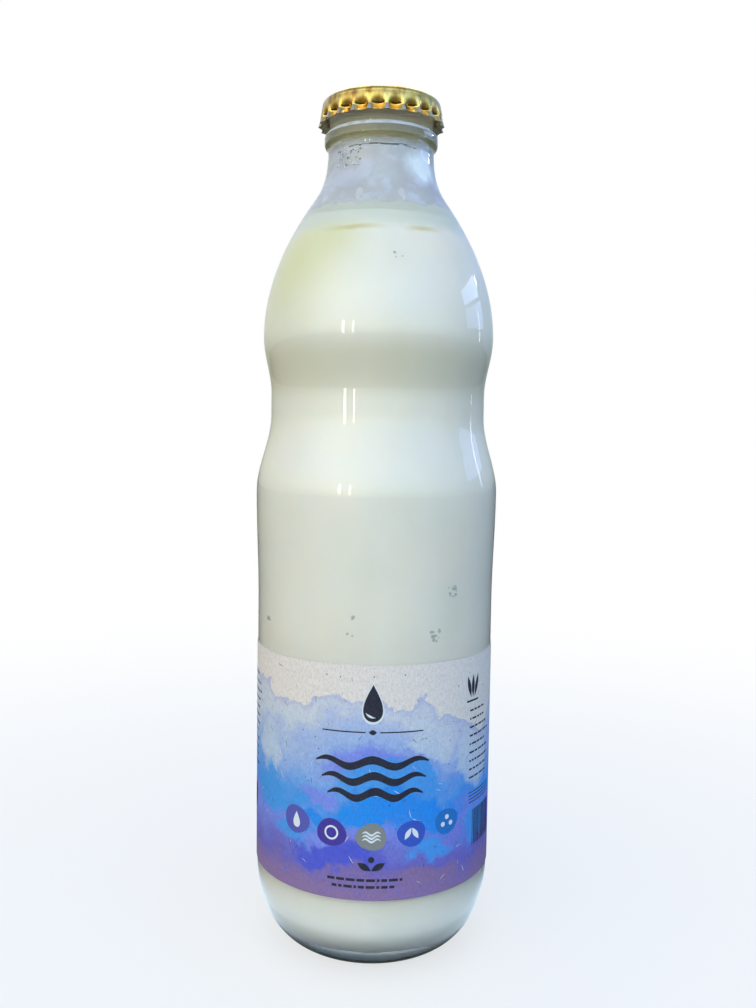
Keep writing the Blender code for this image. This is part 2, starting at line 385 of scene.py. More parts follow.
def turning_tree():
    """Turns a profile into a closed round piece, pressed in by flutes where the profile's points say so."""
    tree, given, result = new_geometry_tree(
        "Turn and flute",
        ("Profile", "Geometry", None), ("Segments", "Int", 128), ("Flutes", "Int", 1),
        ("First Valley", "Float", 0.0), ("Ridge Sharpness", "Float", 2.4),
    )
    count = add_node(tree, "GeometryNodeAttributeDomainSize", {"Geometry": given["Profile"]}).outputs[0]
    grid = add_node(
        tree, "GeometryNodeMeshGrid", {"Vertices X": plus(tree, given["Segments"], 1.0), "Vertices Y": count}
    )
    index = tree.nodes.new("GeometryNodeInputIndex").outputs[0]
    column = maths(tree, "FLOOR", over(tree, plus(tree, index, 0.5), count))
    row = minus(tree, index, times(tree, column, count))
    place = tree.nodes.new("GeometryNodeInputPosition").outputs[0]
    pressed = add_node(
        tree, "GeometryNodeInputNamedAttribute", {"Name": "pressed"}, data_type="FLOAT"
    ).outputs[0]
    sampled = []
    for kind, value in (("FLOAT_VECTOR", place), ("FLOAT", pressed)):
        inputs = {"Geometry": given["Profile"], "Value": value, "Index": row}
        sampled.append(add_node(tree, "GeometryNodeSampleIndex", inputs, data_type=kind).outputs[0])
    point, depth = sampled
    turn = over(tree, times(tree, column, math.tau), given["Segments"])
    from_valley = minus(tree, turn, given["First Valley"])
    flutes_in = over(tree, times(tree, from_valley, given["Flutes"]), math.tau)
    offset = minus(tree, maths(tree, "FRACT", plus(tree, flutes_in, 0.5)), 0.5)
    across = times(tree, maths(tree, "ABSOLUTE", offset), 2.0)
    ridge = maths(tree, "POWER", across, given["Ridge Sharpness"])
    kept = add_node(
        tree, "GeometryNodeStoreNamedAttribute",
        {"Geometry": grid.outputs["Mesh"], "Name": "ridge", "Value": ridge},
        data_type="FLOAT", domain="POINT",
    )
    parts = parts_of(tree, point)
    radius = minus(tree, parts[0], times(tree, depth, minus(tree, 1.0, ridge)))
    turned = placed_round(tree, kept.outputs[0], radius, turn, parts[2])
    merged = add_node(tree, "GeometryNodeMergeByDistance", {"Geometry": turned, "Distance": 1e-6})
    smooth = add_node(tree, "GeometryNodeSetShadeSmooth", {"Geometry": merged.outputs[0]})
    return end_tree(tree, given, result, smooth.outputs[0])


def wrapping_tree():
    """Wraps a flat piece, drawn in X and Y with its thickness in Z, round the bottle's axis."""
    tree, given, result = new_geometry_tree(
        "Wrap round the bottle",
        ("Flat", "Geometry", None), ("Radius", "Float", 0.04), ("Lap Start", "Float", 1.0),
        ("Lap Rise", "Float", 0.01), ("Lap Lift", "Float", 0.0),
    )
    place = tree.nodes.new("GeometryNodeInputPosition").outputs[0]
    kept = add_node(
        tree, "GeometryNodeStoreNamedAttribute", {"Geometry": given["Flat"], "Name": "sheet", "Value": place},
        data_type="FLOAT2", domain="CORNER",
    )
    along, up, out = parts_of(tree, place)
    angle = minus(tree, over(tree, along, given["Radius"]), math.pi / 2)
    past = minus(tree, along, given["Lap Start"])
    lift = times(tree, ramp(tree, over(tree, past, given["Lap Rise"]), 0.0, 1.0), given["Lap Lift"])
    radius = plus(tree, plus(tree, given["Radius"], out), lift)
    return end_tree(tree, given, result, placed_round(tree, kept.outputs[0], radius, angle, up))


def scattering_tree():
    """Scatters copies of one small shape over a surface, each turned and sized at random."""
    tree, given, result = new_geometry_tree(
        "Scatter on a surface",
        ("Surface", "Geometry", None), ("Shape", "Object", None), ("Density", "Float", 1000.0),
        ("Smallest", "Float", 0.5), ("Largest", "Float", 1.0), ("Seed", "Int", 1),
    )
    spread = add_node(
        tree, "GeometryNodeDistributePointsOnFaces",
        {"Mesh": given["Surface"], "Density": given["Density"], "Seed": given["Seed"]},
    ).outputs
    shape = add_node(tree, "GeometryNodeObjectInfo", {"Object": given["Shape"]})
    drawn = []
    for low, high in ((given["Smallest"], given["Largest"]), (0.0, math.tau)):
        inputs = {2: low, 3: high, "Seed": given["Seed"]}
        drawn.append(add_node(tree, "FunctionNodeRandomValue", inputs, data_type="FLOAT").outputs[1])
    size, turn = drawn
    spin = add_node(tree, "ShaderNodeCombineXYZ", {"Z": turn})
    turned = add_node(
        tree, "FunctionNodeRotateRotation", {"Rotation": spread["Rotation"], "Rotate By": spin.outputs[0]},
        rotation_space="LOCAL",
    )
    copies = add_node(
        tree, "GeometryNodeInstanceOnPoints",
        {
            "Points": spread["Points"], "Instance": shape.outputs["Geometry"],
            "Rotation": turned.outputs[0], "Scale": size,
        },
    )
    return end_tree(tree, given, result, copies.outputs[0])


def line_tree():
    """A thin round line along a path of edges, which wanders a little."""
    tree, given, result = new_geometry_tree(
        "Line along a path",
        ("Path", "Geometry", None), ("Radius", "Float", 0.0001), ("Wander", "Float", 0.001),
        ("Grain", "Float", 200.0),
    )
    curve = add_node(tree, "GeometryNodeMeshToCurve", {"Mesh": given["Path"]})
    lift = sway(tree, {"Scale": given["Grain"], "Detail": 4.0}, given["Wander"])
    shift = add_node(tree, "ShaderNodeCombineXYZ", {"Z": lift})
    moved = add_node(
        tree, "GeometryNodeSetPosition", {"Geometry": curve.outputs[0], "Offset": shift.outputs[0]}
    )
    circle = add_node(tree, "GeometryNodeCurvePrimitiveCircle", {"Resolution": 6, "Radius": given["Radius"]})
    tube = add_node(
        tree, "GeometryNodeCurveToMesh",
        {"Curve": moved.outputs[0], "Profile Curve": circle.outputs[0], "Fill Caps": True},
    )
    return end_tree(tree, given, result, tube.outputs[0])


def tree_named(name, make):
    """The node group of that name, made the first time it is asked for."""
    return bpy.data.node_groups.get(name) or make()


def new_object(name, mesh):
    obj = bpy.data.objects.new(name, mesh)
    bpy.context.scene.collection.objects.link(obj)
    return obj


def grown(source, name, tree, values):
    """Runs a node tree on an object and leaves its result as a plain mesh object of the given name."""
    modifier = source.modifiers.new(tree.name, "NODES")
    modifier.node_group = tree
    for item in tree.interface.items_tree:
        if item.item_type == "SOCKET" and item.in_out == "INPUT" and item.name in values:
            modifier[item.identifier] = values[item.name]
    source.update_tag()
    graph = bpy.context.evaluated_depsgraph_get()
    mesh = bpy.data.meshes.new_from_object(
        source.evaluated_get(graph), preserve_all_data_layers=True, depsgraph=graph
    )
    source.modifiers.remove(modifier)
    bpy.data.objects.remove(source)
    if not mesh.polygons:
        raise RuntimeError(f"{name} came out with no faces")
    mesh.name = name
    return new_object(name, mesh)


def turned_piece(name, profile_mm, segments, material, pressed_mm=None, **flutes):
    """A round piece from (radius, height) points that run up its outer side, ending on the axis."""
    mesh = bpy.data.meshes.new(name + "_profile")
    points = [(radius * MM, 0.0, height * MM) for radius, height in profile_mm]
    mesh.from_pydata(points, [(i, i + 1) for i in range(len(points) - 1)], [])
    depth = mesh.attributes.new("pressed", "FLOAT", "POINT")
    depth.data.foreach_set("value", [value * MM for value in (pressed_mm or [0.0] * len(points))])
    values = {"Segments": segments, "Finish": material, **flutes}
    tree = tree_named("Turn and flute", turning_tree)
    piece = grown(new_object(name + "_profile", mesh), name, tree, values)
    if not pressed_mm:
        piece.data.attributes.remove(piece.data.attributes["ridge"])
    return piece


def side_patch(name, profile_mm, left_deg, right_deg, steps=12):
    """An open patch of a turned surface to scatter things on; 0 degrees is the front."""
    mesh = bpy.data.meshes.new(name)
    points, faces = [], []
    for i in range(steps + 1):
        angle = math.radians(left_deg + (right_deg - left_deg) * i / steps - 90)
        points += [(radius * MM * math.cos(angle), radius * MM * math.sin(angle), height * MM)
                   for radius, height in profile_mm]
    count = len(profile_mm)
    for i in range(steps):
        for j in range(count - 1):
            corner = i * count + j
            faces.append((corner, corner + count, corner + count + 1, corner + 1))
    mesh.from_pydata(points, [], faces)
    return new_object(name, mesh)


def scattered(surface, name, shape, material, density, smallest, largest, seed):
    """Copies of a small shape scattered over a surface as one plain mesh. The shape is used up."""
    values = {
        "Shape": shape, "Density": density, "Smallest": smallest, "Largest": largest, "Seed": seed,
        "Finish": material,
    }
    piece = grown(surface, name, tree_named("Scatter on a surface", scattering_tree), values)
    bpy.data.objects.remove(shape)
    return piece


def add_to_bottle(piece, replaces=None):
    """Makes a finished piece ride on the bottle and hides the imported part it replaces."""
    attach(piece, BODY)
    if replaces:
        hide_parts(replaces)
    return piece


# Shader groups


def mottle_group():
    """Cloudy patches: 0 where the noise is under Low and 1 where it is over High."""
    tree, given, result = new_mask_tree(
        "Soft mottle",
        ("Scale", "Float", 100.0), ("Detail", "Float", 3.0), ("Low", "Float", 0.35), ("High", "Float", 0.65),
    )
    inputs = {name: given[name] for name in ("Vector", "Scale", "Detail")}
    noise = add_node(tree, "ShaderNodeTexNoise", inputs)
    feed(tree, result, {"Mask": ramp(tree, noise.outputs[0], given["Low"], given["High"])})
    return tree


def level_group():
    """A level band: 1 within Half Width of a height, fading over Softness, its edge wandering by Wander."""
    tree, given, result = new_mask_tree(
        "Wandering band",
        ("Height", "Float", 0.0), ("Half Width", "Float", 0.001), ("Softness", "Float", 0.001),
        ("Wander", "Float", 0.001), ("Scale", "Float", 60.0),
    )
    lift = sway(tree, {"Vector": given["Vector"], "Scale": given["Scale"], "Detail": 3.0}, given["Wander"])
    away = minus(tree, plus(tree, parts_of(tree, given["Vector"])[2], lift), given["Height"])
    gap = minus(tree, maths(tree, "ABSOLUTE", away), given["Half Width"])
    feed(tree, result, {"Mask": fading(tree, over(tree, gap, given["Softness"]), 0.0, 1.0)})
    return tree


def place_group():
    """A soft patch: 1 at Place, fading to 0 at Reach from it."""
    tree, given, result = new_mask_tree(
        "Patch round a place", ("Place", "Vector", (0.0, 0.0, 0.0)), ("Reach", "Float", 0.02)
    )
    gap = vector_maths(tree, "DISTANCE", given["Vector"], given["Place"])
    feed(tree, result, {"Mask": fading(tree, over(tree, gap, given["Reach"]), 0.0, 1.0)})
    return tree


def spot_group():
    """A spot of wash: Mask is 1 inside and falls off at its edge, and Rim is the line where it dried."""
    tree, given, result = new_mask_tree(
        "Spot of wash",
        ("Place", "Vector", (0.0, 0.0, 0.0)), ("Width", "Float", 0.02), ("Height", "Float", 0.01),
        ("Soft", "Float", 0.4), masks=("Mask", "Rim"),
    )
    parts = parts_of(tree, vector_maths(tree, "SUBTRACT", given["Vector"], given["Place"]))
    wide, tall = (
        maths(tree, "POWER", over(tree, part, given[size]), 2.0)
        for part, size in ((parts[0], "Width"), (parts[1], "Height"))
    )
    reach = maths(tree, "SQRT", plus(tree, wide, tall))
    rim = times(tree, ramp(tree, reach, 0.72, 0.9), fading(tree, reach, 0.92, 1.0))
    feed(tree, result, {"Mask": fading(tree, reach, minus(tree, 1.0, given["Soft"]), 1.0), "Rim": rim})
    return tree


def grouped(tree, name, make, inputs):
    """A shader group placed in a material's tree."""
    return add_node(tree, "ShaderNodeGroup", inputs, node_tree=tree_named(name, make)).outputs


def mottle(tree, vector, scale, low=0.35, high=0.65, detail=3.0):
    values = {"Vector": vector, "Scale": scale, "Low": low, "High": high, "Detail": detail}
    return grouped(tree, "Soft mottle", mottle_group, values)["Mask"]


def band(tree, vector, height, half_width, softness, wander, scale=60.0):
    values = {
        "Vector": vector, "Height": height, "Half Width": half_width,
        "Softness": softness, "Wander": wander, "Scale": scale,
    }
    return grouped(tree, "Wandering band", level_group, values)["Mask"]


def patch(tree, vector, spot):
    """A soft patch at a spot: turn in degrees, height, radius and reach in mm."""
    *place, reach_mm = spot
    values = {"Vector": vector, "Place": turned_place(*place), "Reach": reach_mm * MM}
    return grouped(tree, "Patch round a place", place_group, values)["Mask"]


def turned_place(turn_deg, height_mm, radius_mm):
    """A point on the bottle by its turn to the right of the front, its height and its radius."""
    turn = math.radians(turn_deg)
    return (radius_mm * MM * math.sin(turn), -radius_mm * MM * math.cos(turn), height_mm * MM)


def wandering_height(tree, here, scale, wander):
    """The height of a point, moved up and down by noise, for an edge that isn't ruled."""
    lift = sway(tree, {"Vector": here, "Scale": scale, "Detail": 4.0}, wander)
    return plus(tree, parts_of(tree, here)[2], lift)


def stretched(tree, vector, *scale):
    """Coordinates scaled by axis, so that a pattern on them is drawn out."""
    return add_node(tree, "ShaderNodeMapping", {0: vector, "Scale": scale}).outputs[0]


def new_material(name):
    """A material with its tree, its Principled shader and the object's own coordinates."""
    material = bpy.data.materials.new(name)
    material.use_nodes = True
    tree = material.node_tree
    here = tree.nodes.new("ShaderNodeTexCoord").outputs["Object"]
    return material, tree, tree.nodes["Principled BSDF"], here


def bump(tree, height, strength, distance):
    return add_node(
        tree, "ShaderNodeBump", {"Strength": strength, "Distance": distance, "Height": height}
    ).outputs[0]


def either_shader(tree, share, first, second):
    return add_node(tree, "ShaderNodeMixShader", {0: share, 1: first, 2: second}).outputs[0]


def show(tree, surface):
    """Makes a shader the material's surface."""
    feed(tree, tree.nodes["Material Output"], {"Surface": surface})


def ray_is(tree, kind):
    return tree.nodes.new("ShaderNodeLightPath").outputs[f"Is {kind} Ray"]


# Materials

# Spots in the yogurt and its film: turn in degrees, height, radius and reach in mm
CREAM_SPOT = (-54.0, 230.0, 34.0, 32.0)
CREAM_BY_LINE = (-28.0, 236.5, 29.0, 13.0)
CREAM_LINE_LEFT = (-17.0, 238.0, 29.0, 13.0)
CREAM_LINE_RIGHT = (28.0, 237.5, 29.0, 8.0)
# Spots of painted highlight on the film in the neck, which also glow
FILM_HIGHLIGHT_SPOT = (51.0, 260.5, 15.0, 8.6)
FILM_MIDDLE_HIGHLIGHT_SPOT = (3.0, 256.0, 15.5, 8.0)

# Patches of painted shade on the film, at the sides of the neck and below the bead: the spot and its share
FILM_SHADES = (
    ((-28.0, 248.5, 15.5, 8.0), 0.8), ((58.0, 249.0, 15.5, 8.0), 0.6),
    ((-8.0, 264.0, 15.5, 5.0), 0.5), ((64.0, 264.0, 15.5, 6.0), 0.7),
)

# Level bands in metres: height, half width, softness and wander, then the grain of the wander
HEEL_SHADE = (0.0, 0.0072, 0.0030, 0.0010)
WAIST_SHADE = (0.1948, 0.0030, 0.0095, 0.0020, 30.0)
CREAM_LINE = (0.2376, 0.0002, 0.0010, 0.0024, 85.0)
CAP_SMUDGE_AND_SHADE = (CAP_SKIRT_TOP_MM * MM, 0.0004, 0.0009, 0.0012, 900.0)

# Heights in metres over which the film changes: painted shade dims it, then it meets the bead and comes under
# the cap
FILM_DIM = (0.2668, 0.2674)
FILM_IN_BEAD = (0.2688, 0.2694)
FILM_BELOW_CAP = (0.2730, 0.2755)

# What the glass lets through of the lamps' light
SHADOW_TINT = (0.97, 0.975, 0.97)


def glass_material(looks):
    """Clear glass with faint smears, tinted dark along the foot, partly for the thick glass there and partly
    as painted shade. It passes the lamps' light on.
    """
    material, tree, shader, here = new_material("Clear bottle glass")
    smears = mottle(tree, stretched(tree, here, 1.0, 1.0, 0.35), 90.0, 0.45, 0.75)
    # The heel band darkens the glass: the tint of thick glass, and painted shade along the foot
    feed(tree, shader, {
        "Roughness": ramp(tree, smears, 0.0, 1.0, 0.015, 0.06),
        "Base Color": mix_colours(tree, band(tree, here, *HEEL_SHADE), looks.tint, looks.heel_tint_and_shade),
        "IOR": 1.5, "Transmission Weight": 1.0,
    })
    clear = add_node(tree, "ShaderNodeBsdfTransparent", {"Color": SHADOW_TINT})
    show(tree, either_shader(tree, ray_is(tree, "Shadow"), shader.outputs[0], clear.outputs[0]))
    return material


def yogurt_material(looks):
    """Plain yogurt: cloudy and streaked, with a band of painted shade under the bulge in the waist and cream
    gathered near its top.
    """
    material, tree, shader, here = new_material("Plain yogurt")
    colour = mix_colours(tree, mottle(tree, here, 45.0, 0.3, 0.7), looks.body, looks.body_cool)
    streaks = mottle(tree, stretched(tree, here, 1.0, 1.0, 0.45), 80.0, 0.42, 0.7)
    for mask, share, tone in (
        (streaks, 0.10, looks.streaks_and_painted_shade),
        # Painted shade: a darker band under the bulge, where the waist faces down
        (band(tree, here, *WAIST_SHADE), 0.44, looks.streaks_and_painted_shade),
        (patch(tree, here, CREAM_SPOT), 0.85, looks.cream),
        (patch(tree, here, CREAM_BY_LINE), 0.55, looks.cream),
    ):
        colour = mix_colours(tree, times(tree, mask, share), colour, tone)
    top = ramp(tree, wandering_height(tree, here, 90.0, 0.004), looks.level - 0.0085, looks.level - 0.0028)
    colour = mix_colours(tree, top, colour, looks.top)
    sides = plus(tree, patch(tree, here, CREAM_LINE_LEFT), patch(tree, here, CREAM_LINE_RIGHT), clamp=True)
    line = times(tree, times(tree, band(tree, here, *CREAM_LINE), sides), 0.8)
    feed(tree, shader, {
        "Base Color": mix_colours(tree, line, colour, looks.cream_line), "Roughness": 0.38,
        "Subsurface Weight": 0.35, "Subsurface Radius": (1.0, 0.85, 0.65), "Subsurface Scale": 0.003,
        "Normal": bump(tree, mottle(tree, here, 400.0, 0.3, 0.7), 0.08, 0.0003),
    })
    return material


def film_material(looks):
    """The film of yogurt inside the neck: thick just above the level and cloudy. Painted shade darkens its
    sides, the band below the bead and, olive, the finish; a painted highlight brightens its right, and the
    finish and the highlight glow as painted light.
    """
    material, tree, shader, here = new_material("Film of yogurt")
    level_height = wandering_height(tree, here, 140.0, 0.006)
    near_level = fading(tree, level_height, looks.level + 0.0008, looks.level + 0.0030)
    lap = ramp(tree, level_height, looks.level - 0.0040, looks.level - 0.0039)
    height = wandering_height(tree, here, 180.0, 0.0010)
    # Painted shade: the film darkens from the crust line up to the bead
    dim = times(tree, ramp(tree, height, *FILM_DIM), 0.6)
    bead = ramp(tree, height, *FILM_IN_BEAD)
    under_cap = ramp(tree, height, *FILM_BELOW_CAP)
    clouds = mottle(tree, here, 150.0, 0.42, 0.58, 5.0)
    streaks = mottle(tree, stretched(tree, here, 1.0, 1.0, 0.3), 220.0)
    colour = mix_colours(tree, clouds, looks.film, looks.film_cool)
    for spot, share in FILM_SHADES:
        shade = times(tree, times(tree, patch(tree, here, spot), share), plus(tree, clouds, 0.5))
        colour = mix_colours(tree, shade, colour, looks.film_shade)
    # Painted highlight: brighter film on the neck's right and in its middle, which also glows
    bright = times(tree, patch(tree, here, FILM_HIGHLIGHT_SPOT), plus(tree, streaks, 1.2), clamp=True)
    middle = times(tree, patch(tree, here, FILM_MIDDLE_HIGHLIGHT_SPOT), 0.35)
    # Over the film's colour: the painted highlight, its thick rim at the level, painted shade below the bead,
    # olive painted shade in the finish, and the film's colour under the cap
    for mask, tone in (
        (maths(tree, "MAXIMUM", bright, middle), looks.film_painted_highlight), (near_level, looks.top),
        (dim, looks.film_shade), (bead, looks.film_finish_painted_shade), (under_cap, looks.film_under_cap),
    ):
        colour = mix_colours(tree, mask, colour, tone)
    # Painted light: the film in the finish, under the cap and in the highlight patches glows, with no lamp
    # there
    lit = plus(tree, times(tree, bead, 0.35), times(tree, under_cap, 0.6))
    lit = plus(tree, lit, maths(tree, "MAXIMUM", bright, times(tree, middle, 0.7)), clamp=True)
    cover = plus(tree, times(tree, clouds, 0.12), times(tree, streaks, 0.06))
    cover = plus(tree, cover, looks.film_cover)
    cover = times(tree, cover, ramp(tree, bead, 0.0, 1.0, 1.0, looks.finish_cover))
    solid = maths(tree, "MAXIMUM", near_level, bright)
    feed(tree, shader, {
        "Base Color": colour, "Roughness": 0.5, "Emission Strength": looks.finish_glow,
        "Emission Color": mix_colours(tree, lit, (0.0, 0.0, 0.0), colour),
        "Alpha": times(tree, maths(tree, "MAXIMUM", cover, solid), lap, clamp=True),
    })
    return material


def scuff_and_highlight_material(looks):
    """Fine pale scuffing on the bead, where bottles rub against each other, which also stands as a painted
    highlight along the bead's top.
    """
    material, tree, shader, here = new_material("Scuffed glass and painted highlight")
    worn = mottle(tree, here, 300.0, 0.25, 0.6, 4.0)
    cover = times(tree, plus(tree, worn, 1.2), looks.scuff_cover)
    feed(tree, shader, {"Base Color": looks.scuff, "Alpha": cover, "Roughness": 0.45})
    return material


def curd_material(looks):
    """Curd flecks, some pale and some dim."""
    material, tree, shader, here = new_material("Curd flecks")
    colour = mix_colours(tree, mottle(tree, here, 600.0, 0.40, 0.50), looks.film_cool, looks.crust_dim_and_shadow)
    feed(tree, shader, {"Base Color": colour, "Roughness": 0.4})
    return material


def crust_shadow_material(looks):
    """Mostly dark, as painted shadow along the dried yogurt, with pale stretches."""
    material, tree, shader, here = new_material("Crust shadow")
    colour = mix_colours(tree, mottle(tree, here, 170.0, 0.30, 0.46), looks.crust, looks.crust_dim_and_shadow)
    feed(tree, shader, {"Base Color": colour, "Roughness": 0.45})
    return material


def bubble_material(looks):
    """Air caught against the glass, with a bright glint; its grey and its darker rim are painted shade of the
    small pit it makes.
    """
    material, tree, shader, here = new_material("Trapped air")
    edge = add_node(tree, "ShaderNodeLayerWeight", {"Blend": 0.35}).outputs["Facing"]
    # Painted shade: darker towards the rim of each bubble
    feed(tree, shader, {
        "Base Color": mix_colours(tree, edge, looks.bubble, looks.bubble_rim_painted_shade),
        "Roughness": mottle(tree, here, 900.0, 0.2, 0.9), "Specular IOR Level": 0.9,
    })
    return material


def cap_material(looks):
    """Gold lacquer over steel: mottled and streaked by the press, worn to bare steel at the ridges' ends, with
    dark smudges over the ridges that are partly painted shade and a paler amber in the valleys as painted
    light.
    """
    material, tree, shader, here = new_material("Gold lacquered steel")
    disc, shoulder = CAP_HIGH.z, CAP_SKIRT_TOP_MM * MM
    valley, rim = CAP_VALLEY_HEIGHT_MM * MM, CAP_RIM_HEIGHT_MM * MM
    worn = mottle(tree, here, 280.0, 0.40, 0.66, 4.0)
    drawn = mottle(tree, stretched(tree, here, 1.0, 1.0, 0.10), 620.0, 0.35, 0.65, 4.0)
    fine = mottle(tree, here, 1500.0, 0.35, 0.7)
    height = parts_of(tree, here)[2]
    ridge = add_node(tree, "ShaderNodeAttribute", attribute_name="ridge").outputs["Fac"]
    out = vector_maths(tree, "NORMALIZE", vector_maths(tree, "MULTIPLY", here, (1.0, 1.0, 0.0)))
    normal = tree.nodes.new("ShaderNodeNewGeometry").outputs["Normal"]
    inside = fading(tree, vector_maths(tree, "DOT_PRODUCT", out, normal), -0.10, -0.02)

    blotches = times(tree, worn, ramp(tree, height, disc - 0.0010, disc - 0.0001, 0.9, 0.35))
    pale = times(tree, drawn, ramp(tree, height, disc - 0.0012, disc - 0.0002, 0.6, 0.2))
    # Dark smudges over the ridges at the skirt's top, partly painted shade
    smudge = times(tree, band(tree, here, *CAP_SMUDGE_AND_SHADE), ridge)
    smudge = times(tree, smudge, plus(tree, worn, 0.2), clamp=True)
    # Painted light: a paler amber gold low in the valleys and on the flare, lightening the dark scoops
    amber = fading(tree, height, shoulder - 0.0034, shoulder - 0.0014)
    amber = times(tree, amber, ramp(tree, ridge, 0.10, 0.5, 0.85, 0.0))
    low = ramp(tree, height, valley + 0.0004, rim + 0.0004)
    bare = times(tree, times(tree, ramp(tree, ridge, 0.45, 0.8), low), 0.85)
    colour = looks.gold
    for mask, tone in (
        (blotches, looks.gold_deep), (pale, looks.gold_pale), (smudge, looks.gold_smudge_and_shade),
        (amber, looks.amber_painted_light), (bare, looks.steel), (inside, looks.inner_lacquer),
    ):
        colour = mix_colours(tree, mask, colour, tone)

    rough = plus(tree, times(tree, worn, 0.10), times(tree, fine, 0.08))
    rough = plus(tree, rough, times(tree, inside, 0.3))
    in_scoop = times(tree, ramp(tree, height, valley + 0.0002, valley + 0.0009, 0.0, 0.3),
                     fading(tree, ridge, 0.15, 0.7))
    in_scoop = times(tree, in_scoop, fading(tree, height, shoulder - 0.0008, shoulder))
    rough = plus(tree, plus(tree, rough, in_scoop), 0.13)
    relief = plus(tree, drawn, times(tree, worn, 1.5))
    feed(tree, shader, {
        "Base Color": colour, "Metallic": ramp(tree, inside, 0.0, 1.0, 1.0, 0.35), "Roughness": rough,
        "Coat Weight": 0.25, "Coat Roughness": 0.1, "Normal": bump(tree, relief, 0.16, 0.00012),
    })
    return material


# Spots of wash on the label: place on the sheet, width and height in mm, softness and colour's name
WASH_SPOTS = (
    (-6.0, 80.0, 24.0, 9.0, 0.35, "wash_light"), (20.0, 78.0, 12.0, 7.0, 0.5, "wash_pale"),
    (-40.0, 72.0, 10.0, 10.0, 0.5, "wash_pale"), (38.0, 70.0, 9.0, 12.0, 0.5, "wash_pale"),
    (-1.0, 71.0, 19.0, 6.0, 0.6, "wash_lavender"), (8.0, 65.0, 24.0, 8.5, 0.45, "wash_blue"),
    (-38.0, 60.0, 14.0, 8.0, 0.5, "wash_blue"), (-18.0, 61.5, 6.0, 3.6, 0.5, "wash_lavender"),
    (0.0, 58.5, 16.0, 5.5, 0.35, "wash_azure"), (21.0, 55.0, 15.0, 6.5, 0.45, "wash_azure"),
    (-16.0, 53.5, 10.0, 3.2, 0.4, "wash_azure"), (-26.0, 48.0, 15.0, 5.0, 0.6, "wash_blue"),
    (-14.0, 47.0, 8.0, 4.0, 0.5, "wash_lavender"), (-12.0, 41.5, 19.0, 5.5, 0.5, "wash_indigo"),
    (20.0, 45.0, 13.0, 4.5, 0.5, "wash_blue"), (18.0, 35.5, 17.0, 5.0, 0.55, "wash_pink"),
    (40.0, 47.0, 10.0, 8.0, 0.6, "wash_blue"),
)

# The wash from the label's foot up: share of its height and colour's name
WASH_STOPS = (
    (0.0, "wash_pink"), (0.06, "wash_violet"), (0.24, "wash_lavender"), (0.36, "wash_blue"),
    (0.62, "wash_light"), (0.85, "wash_pale"),
)

# How far noise shifts the wash's edges, in metres
DRIFT_REACH = 0.026


def washed_colour(tree, looks, watery, height):
    """The wash's ramp of colours and its spots, each with the darker line where it dried."""
    wash = add_node(tree, "ShaderNodeValToRGB", {"Fac": ramp(tree, height, LABEL_LOW.z, LABEL_HIGH.z)})
    elements = wash.color_ramp.elements
    for index, (position, name) in enumerate(WASH_STOPS):
        stop = elements[index] if index < 2 else elements.new(position)
        stop.position = position
        stop.color = (*getattr(looks, name), 1.0)
    colour = wash.outputs[0]
    for x, y, wide, tall, soft, name in WASH_SPOTS:
        spot = grouped(tree, "Spot of wash", spot_group, {
            "Vector": watery, "Place": (x * MM, y * MM, 0.0),
            "Width": wide * MM, "Height": tall * MM, "Soft": soft,
        })
        colour = mix_colours(tree, times(tree, spot["Mask"], 0.92), colour, getattr(looks, name))
        colour = mix_colours(tree, times(tree, spot["Rim"], 0.14), colour, looks.wash_edge)
    return colour


def paper_material(looks):
    """Pale recycled paper with a watery wash in blue, violet and pink that rises from its foot."""
    material, tree, shader, _ = new_material("Washed recycled paper")
    sheet = add_node(tree, "ShaderNodeUVMap", uv_map="sheet").outputs[0]
    broad = add_node(
        tree, "ShaderNodeTexNoise", {"Vector": sheet, "Scale": 55.0, "Detail": 5.0, "Roughness": 0.62}
    )
    drift = vector_maths(tree, "SUBTRACT", broad.outputs["Color"], (0.5, 0.5, 0.5))
    drift = add_node(
        tree, "ShaderNodeVectorMath", {0: drift, "Scale": DRIFT_REACH}, operation="SCALE"
    ).outputs[0]
    along, up, _ = parts_of(tree, sheet)
    half_round = maths(tree, "WRAP", along, LABEL_ROUND / 4, -LABEL_ROUND / 4)
    folded = add_node(tree, "ShaderNodeCombineXYZ", {"X": half_round, "Y": up}).outputs[0]
    watery = vector_maths(tree, "ADD", folded, drift)
    height = parts_of(tree, watery)[1]
    colour = washed_colour(tree, looks, watery, height)
    pigment = mottle(tree, sheet, 420.0, 0.4, 0.75, 4.0)
    colour = mix_colours(tree, times(tree, pigment, 0.16), colour, looks.wash_edge)

    fall = times(tree, ramp(tree, half_round, 0.012, 0.034), fading(tree, half_round, 0.044, 0.062))
    front_edge = plus(tree, height, times(tree, fall, 0.010))
    washed = fading(tree, front_edge, looks.wash_top - 0.0004, looks.wash_top + 0.0004)
    edge = times(tree, ramp(tree, front_edge, looks.wash_top - 0.0030, looks.wash_top), washed)
    colour = mix_colours(tree, times(tree, edge, 0.45), colour, looks.wash_edge)
    thin = ramp(tree, front_edge, looks.wash_top - 0.018, looks.wash_top, 0.0, 0.35)
    colour = mix_colours(tree, thin, colour, looks.paper)
    colour = mix_colours(tree, washed, looks.paper, colour)

    grain_space = stretched(tree, sheet, 1.0, 0.45, 1.0)
    grain = mottle(tree, grain_space, 1300.0, 0.3, 0.7)
    hairs = mottle(tree, grain_space, 2600.0, 0.50, 0.72)
    colour = mix_colours(tree, times(tree, grain, 0.4), colour, looks.paper_light, "MULTIPLY")
    colour = mix_colours(tree, times(tree, hairs, 0.2), colour, looks.fibre, "MULTIPLY")
    relief = bump(tree, plus(tree, grain, hairs), 0.3, 0.00012)
    feed(tree, shader, {"Base Color": colour, "Roughness": 0.72, "Normal": relief})
    return material


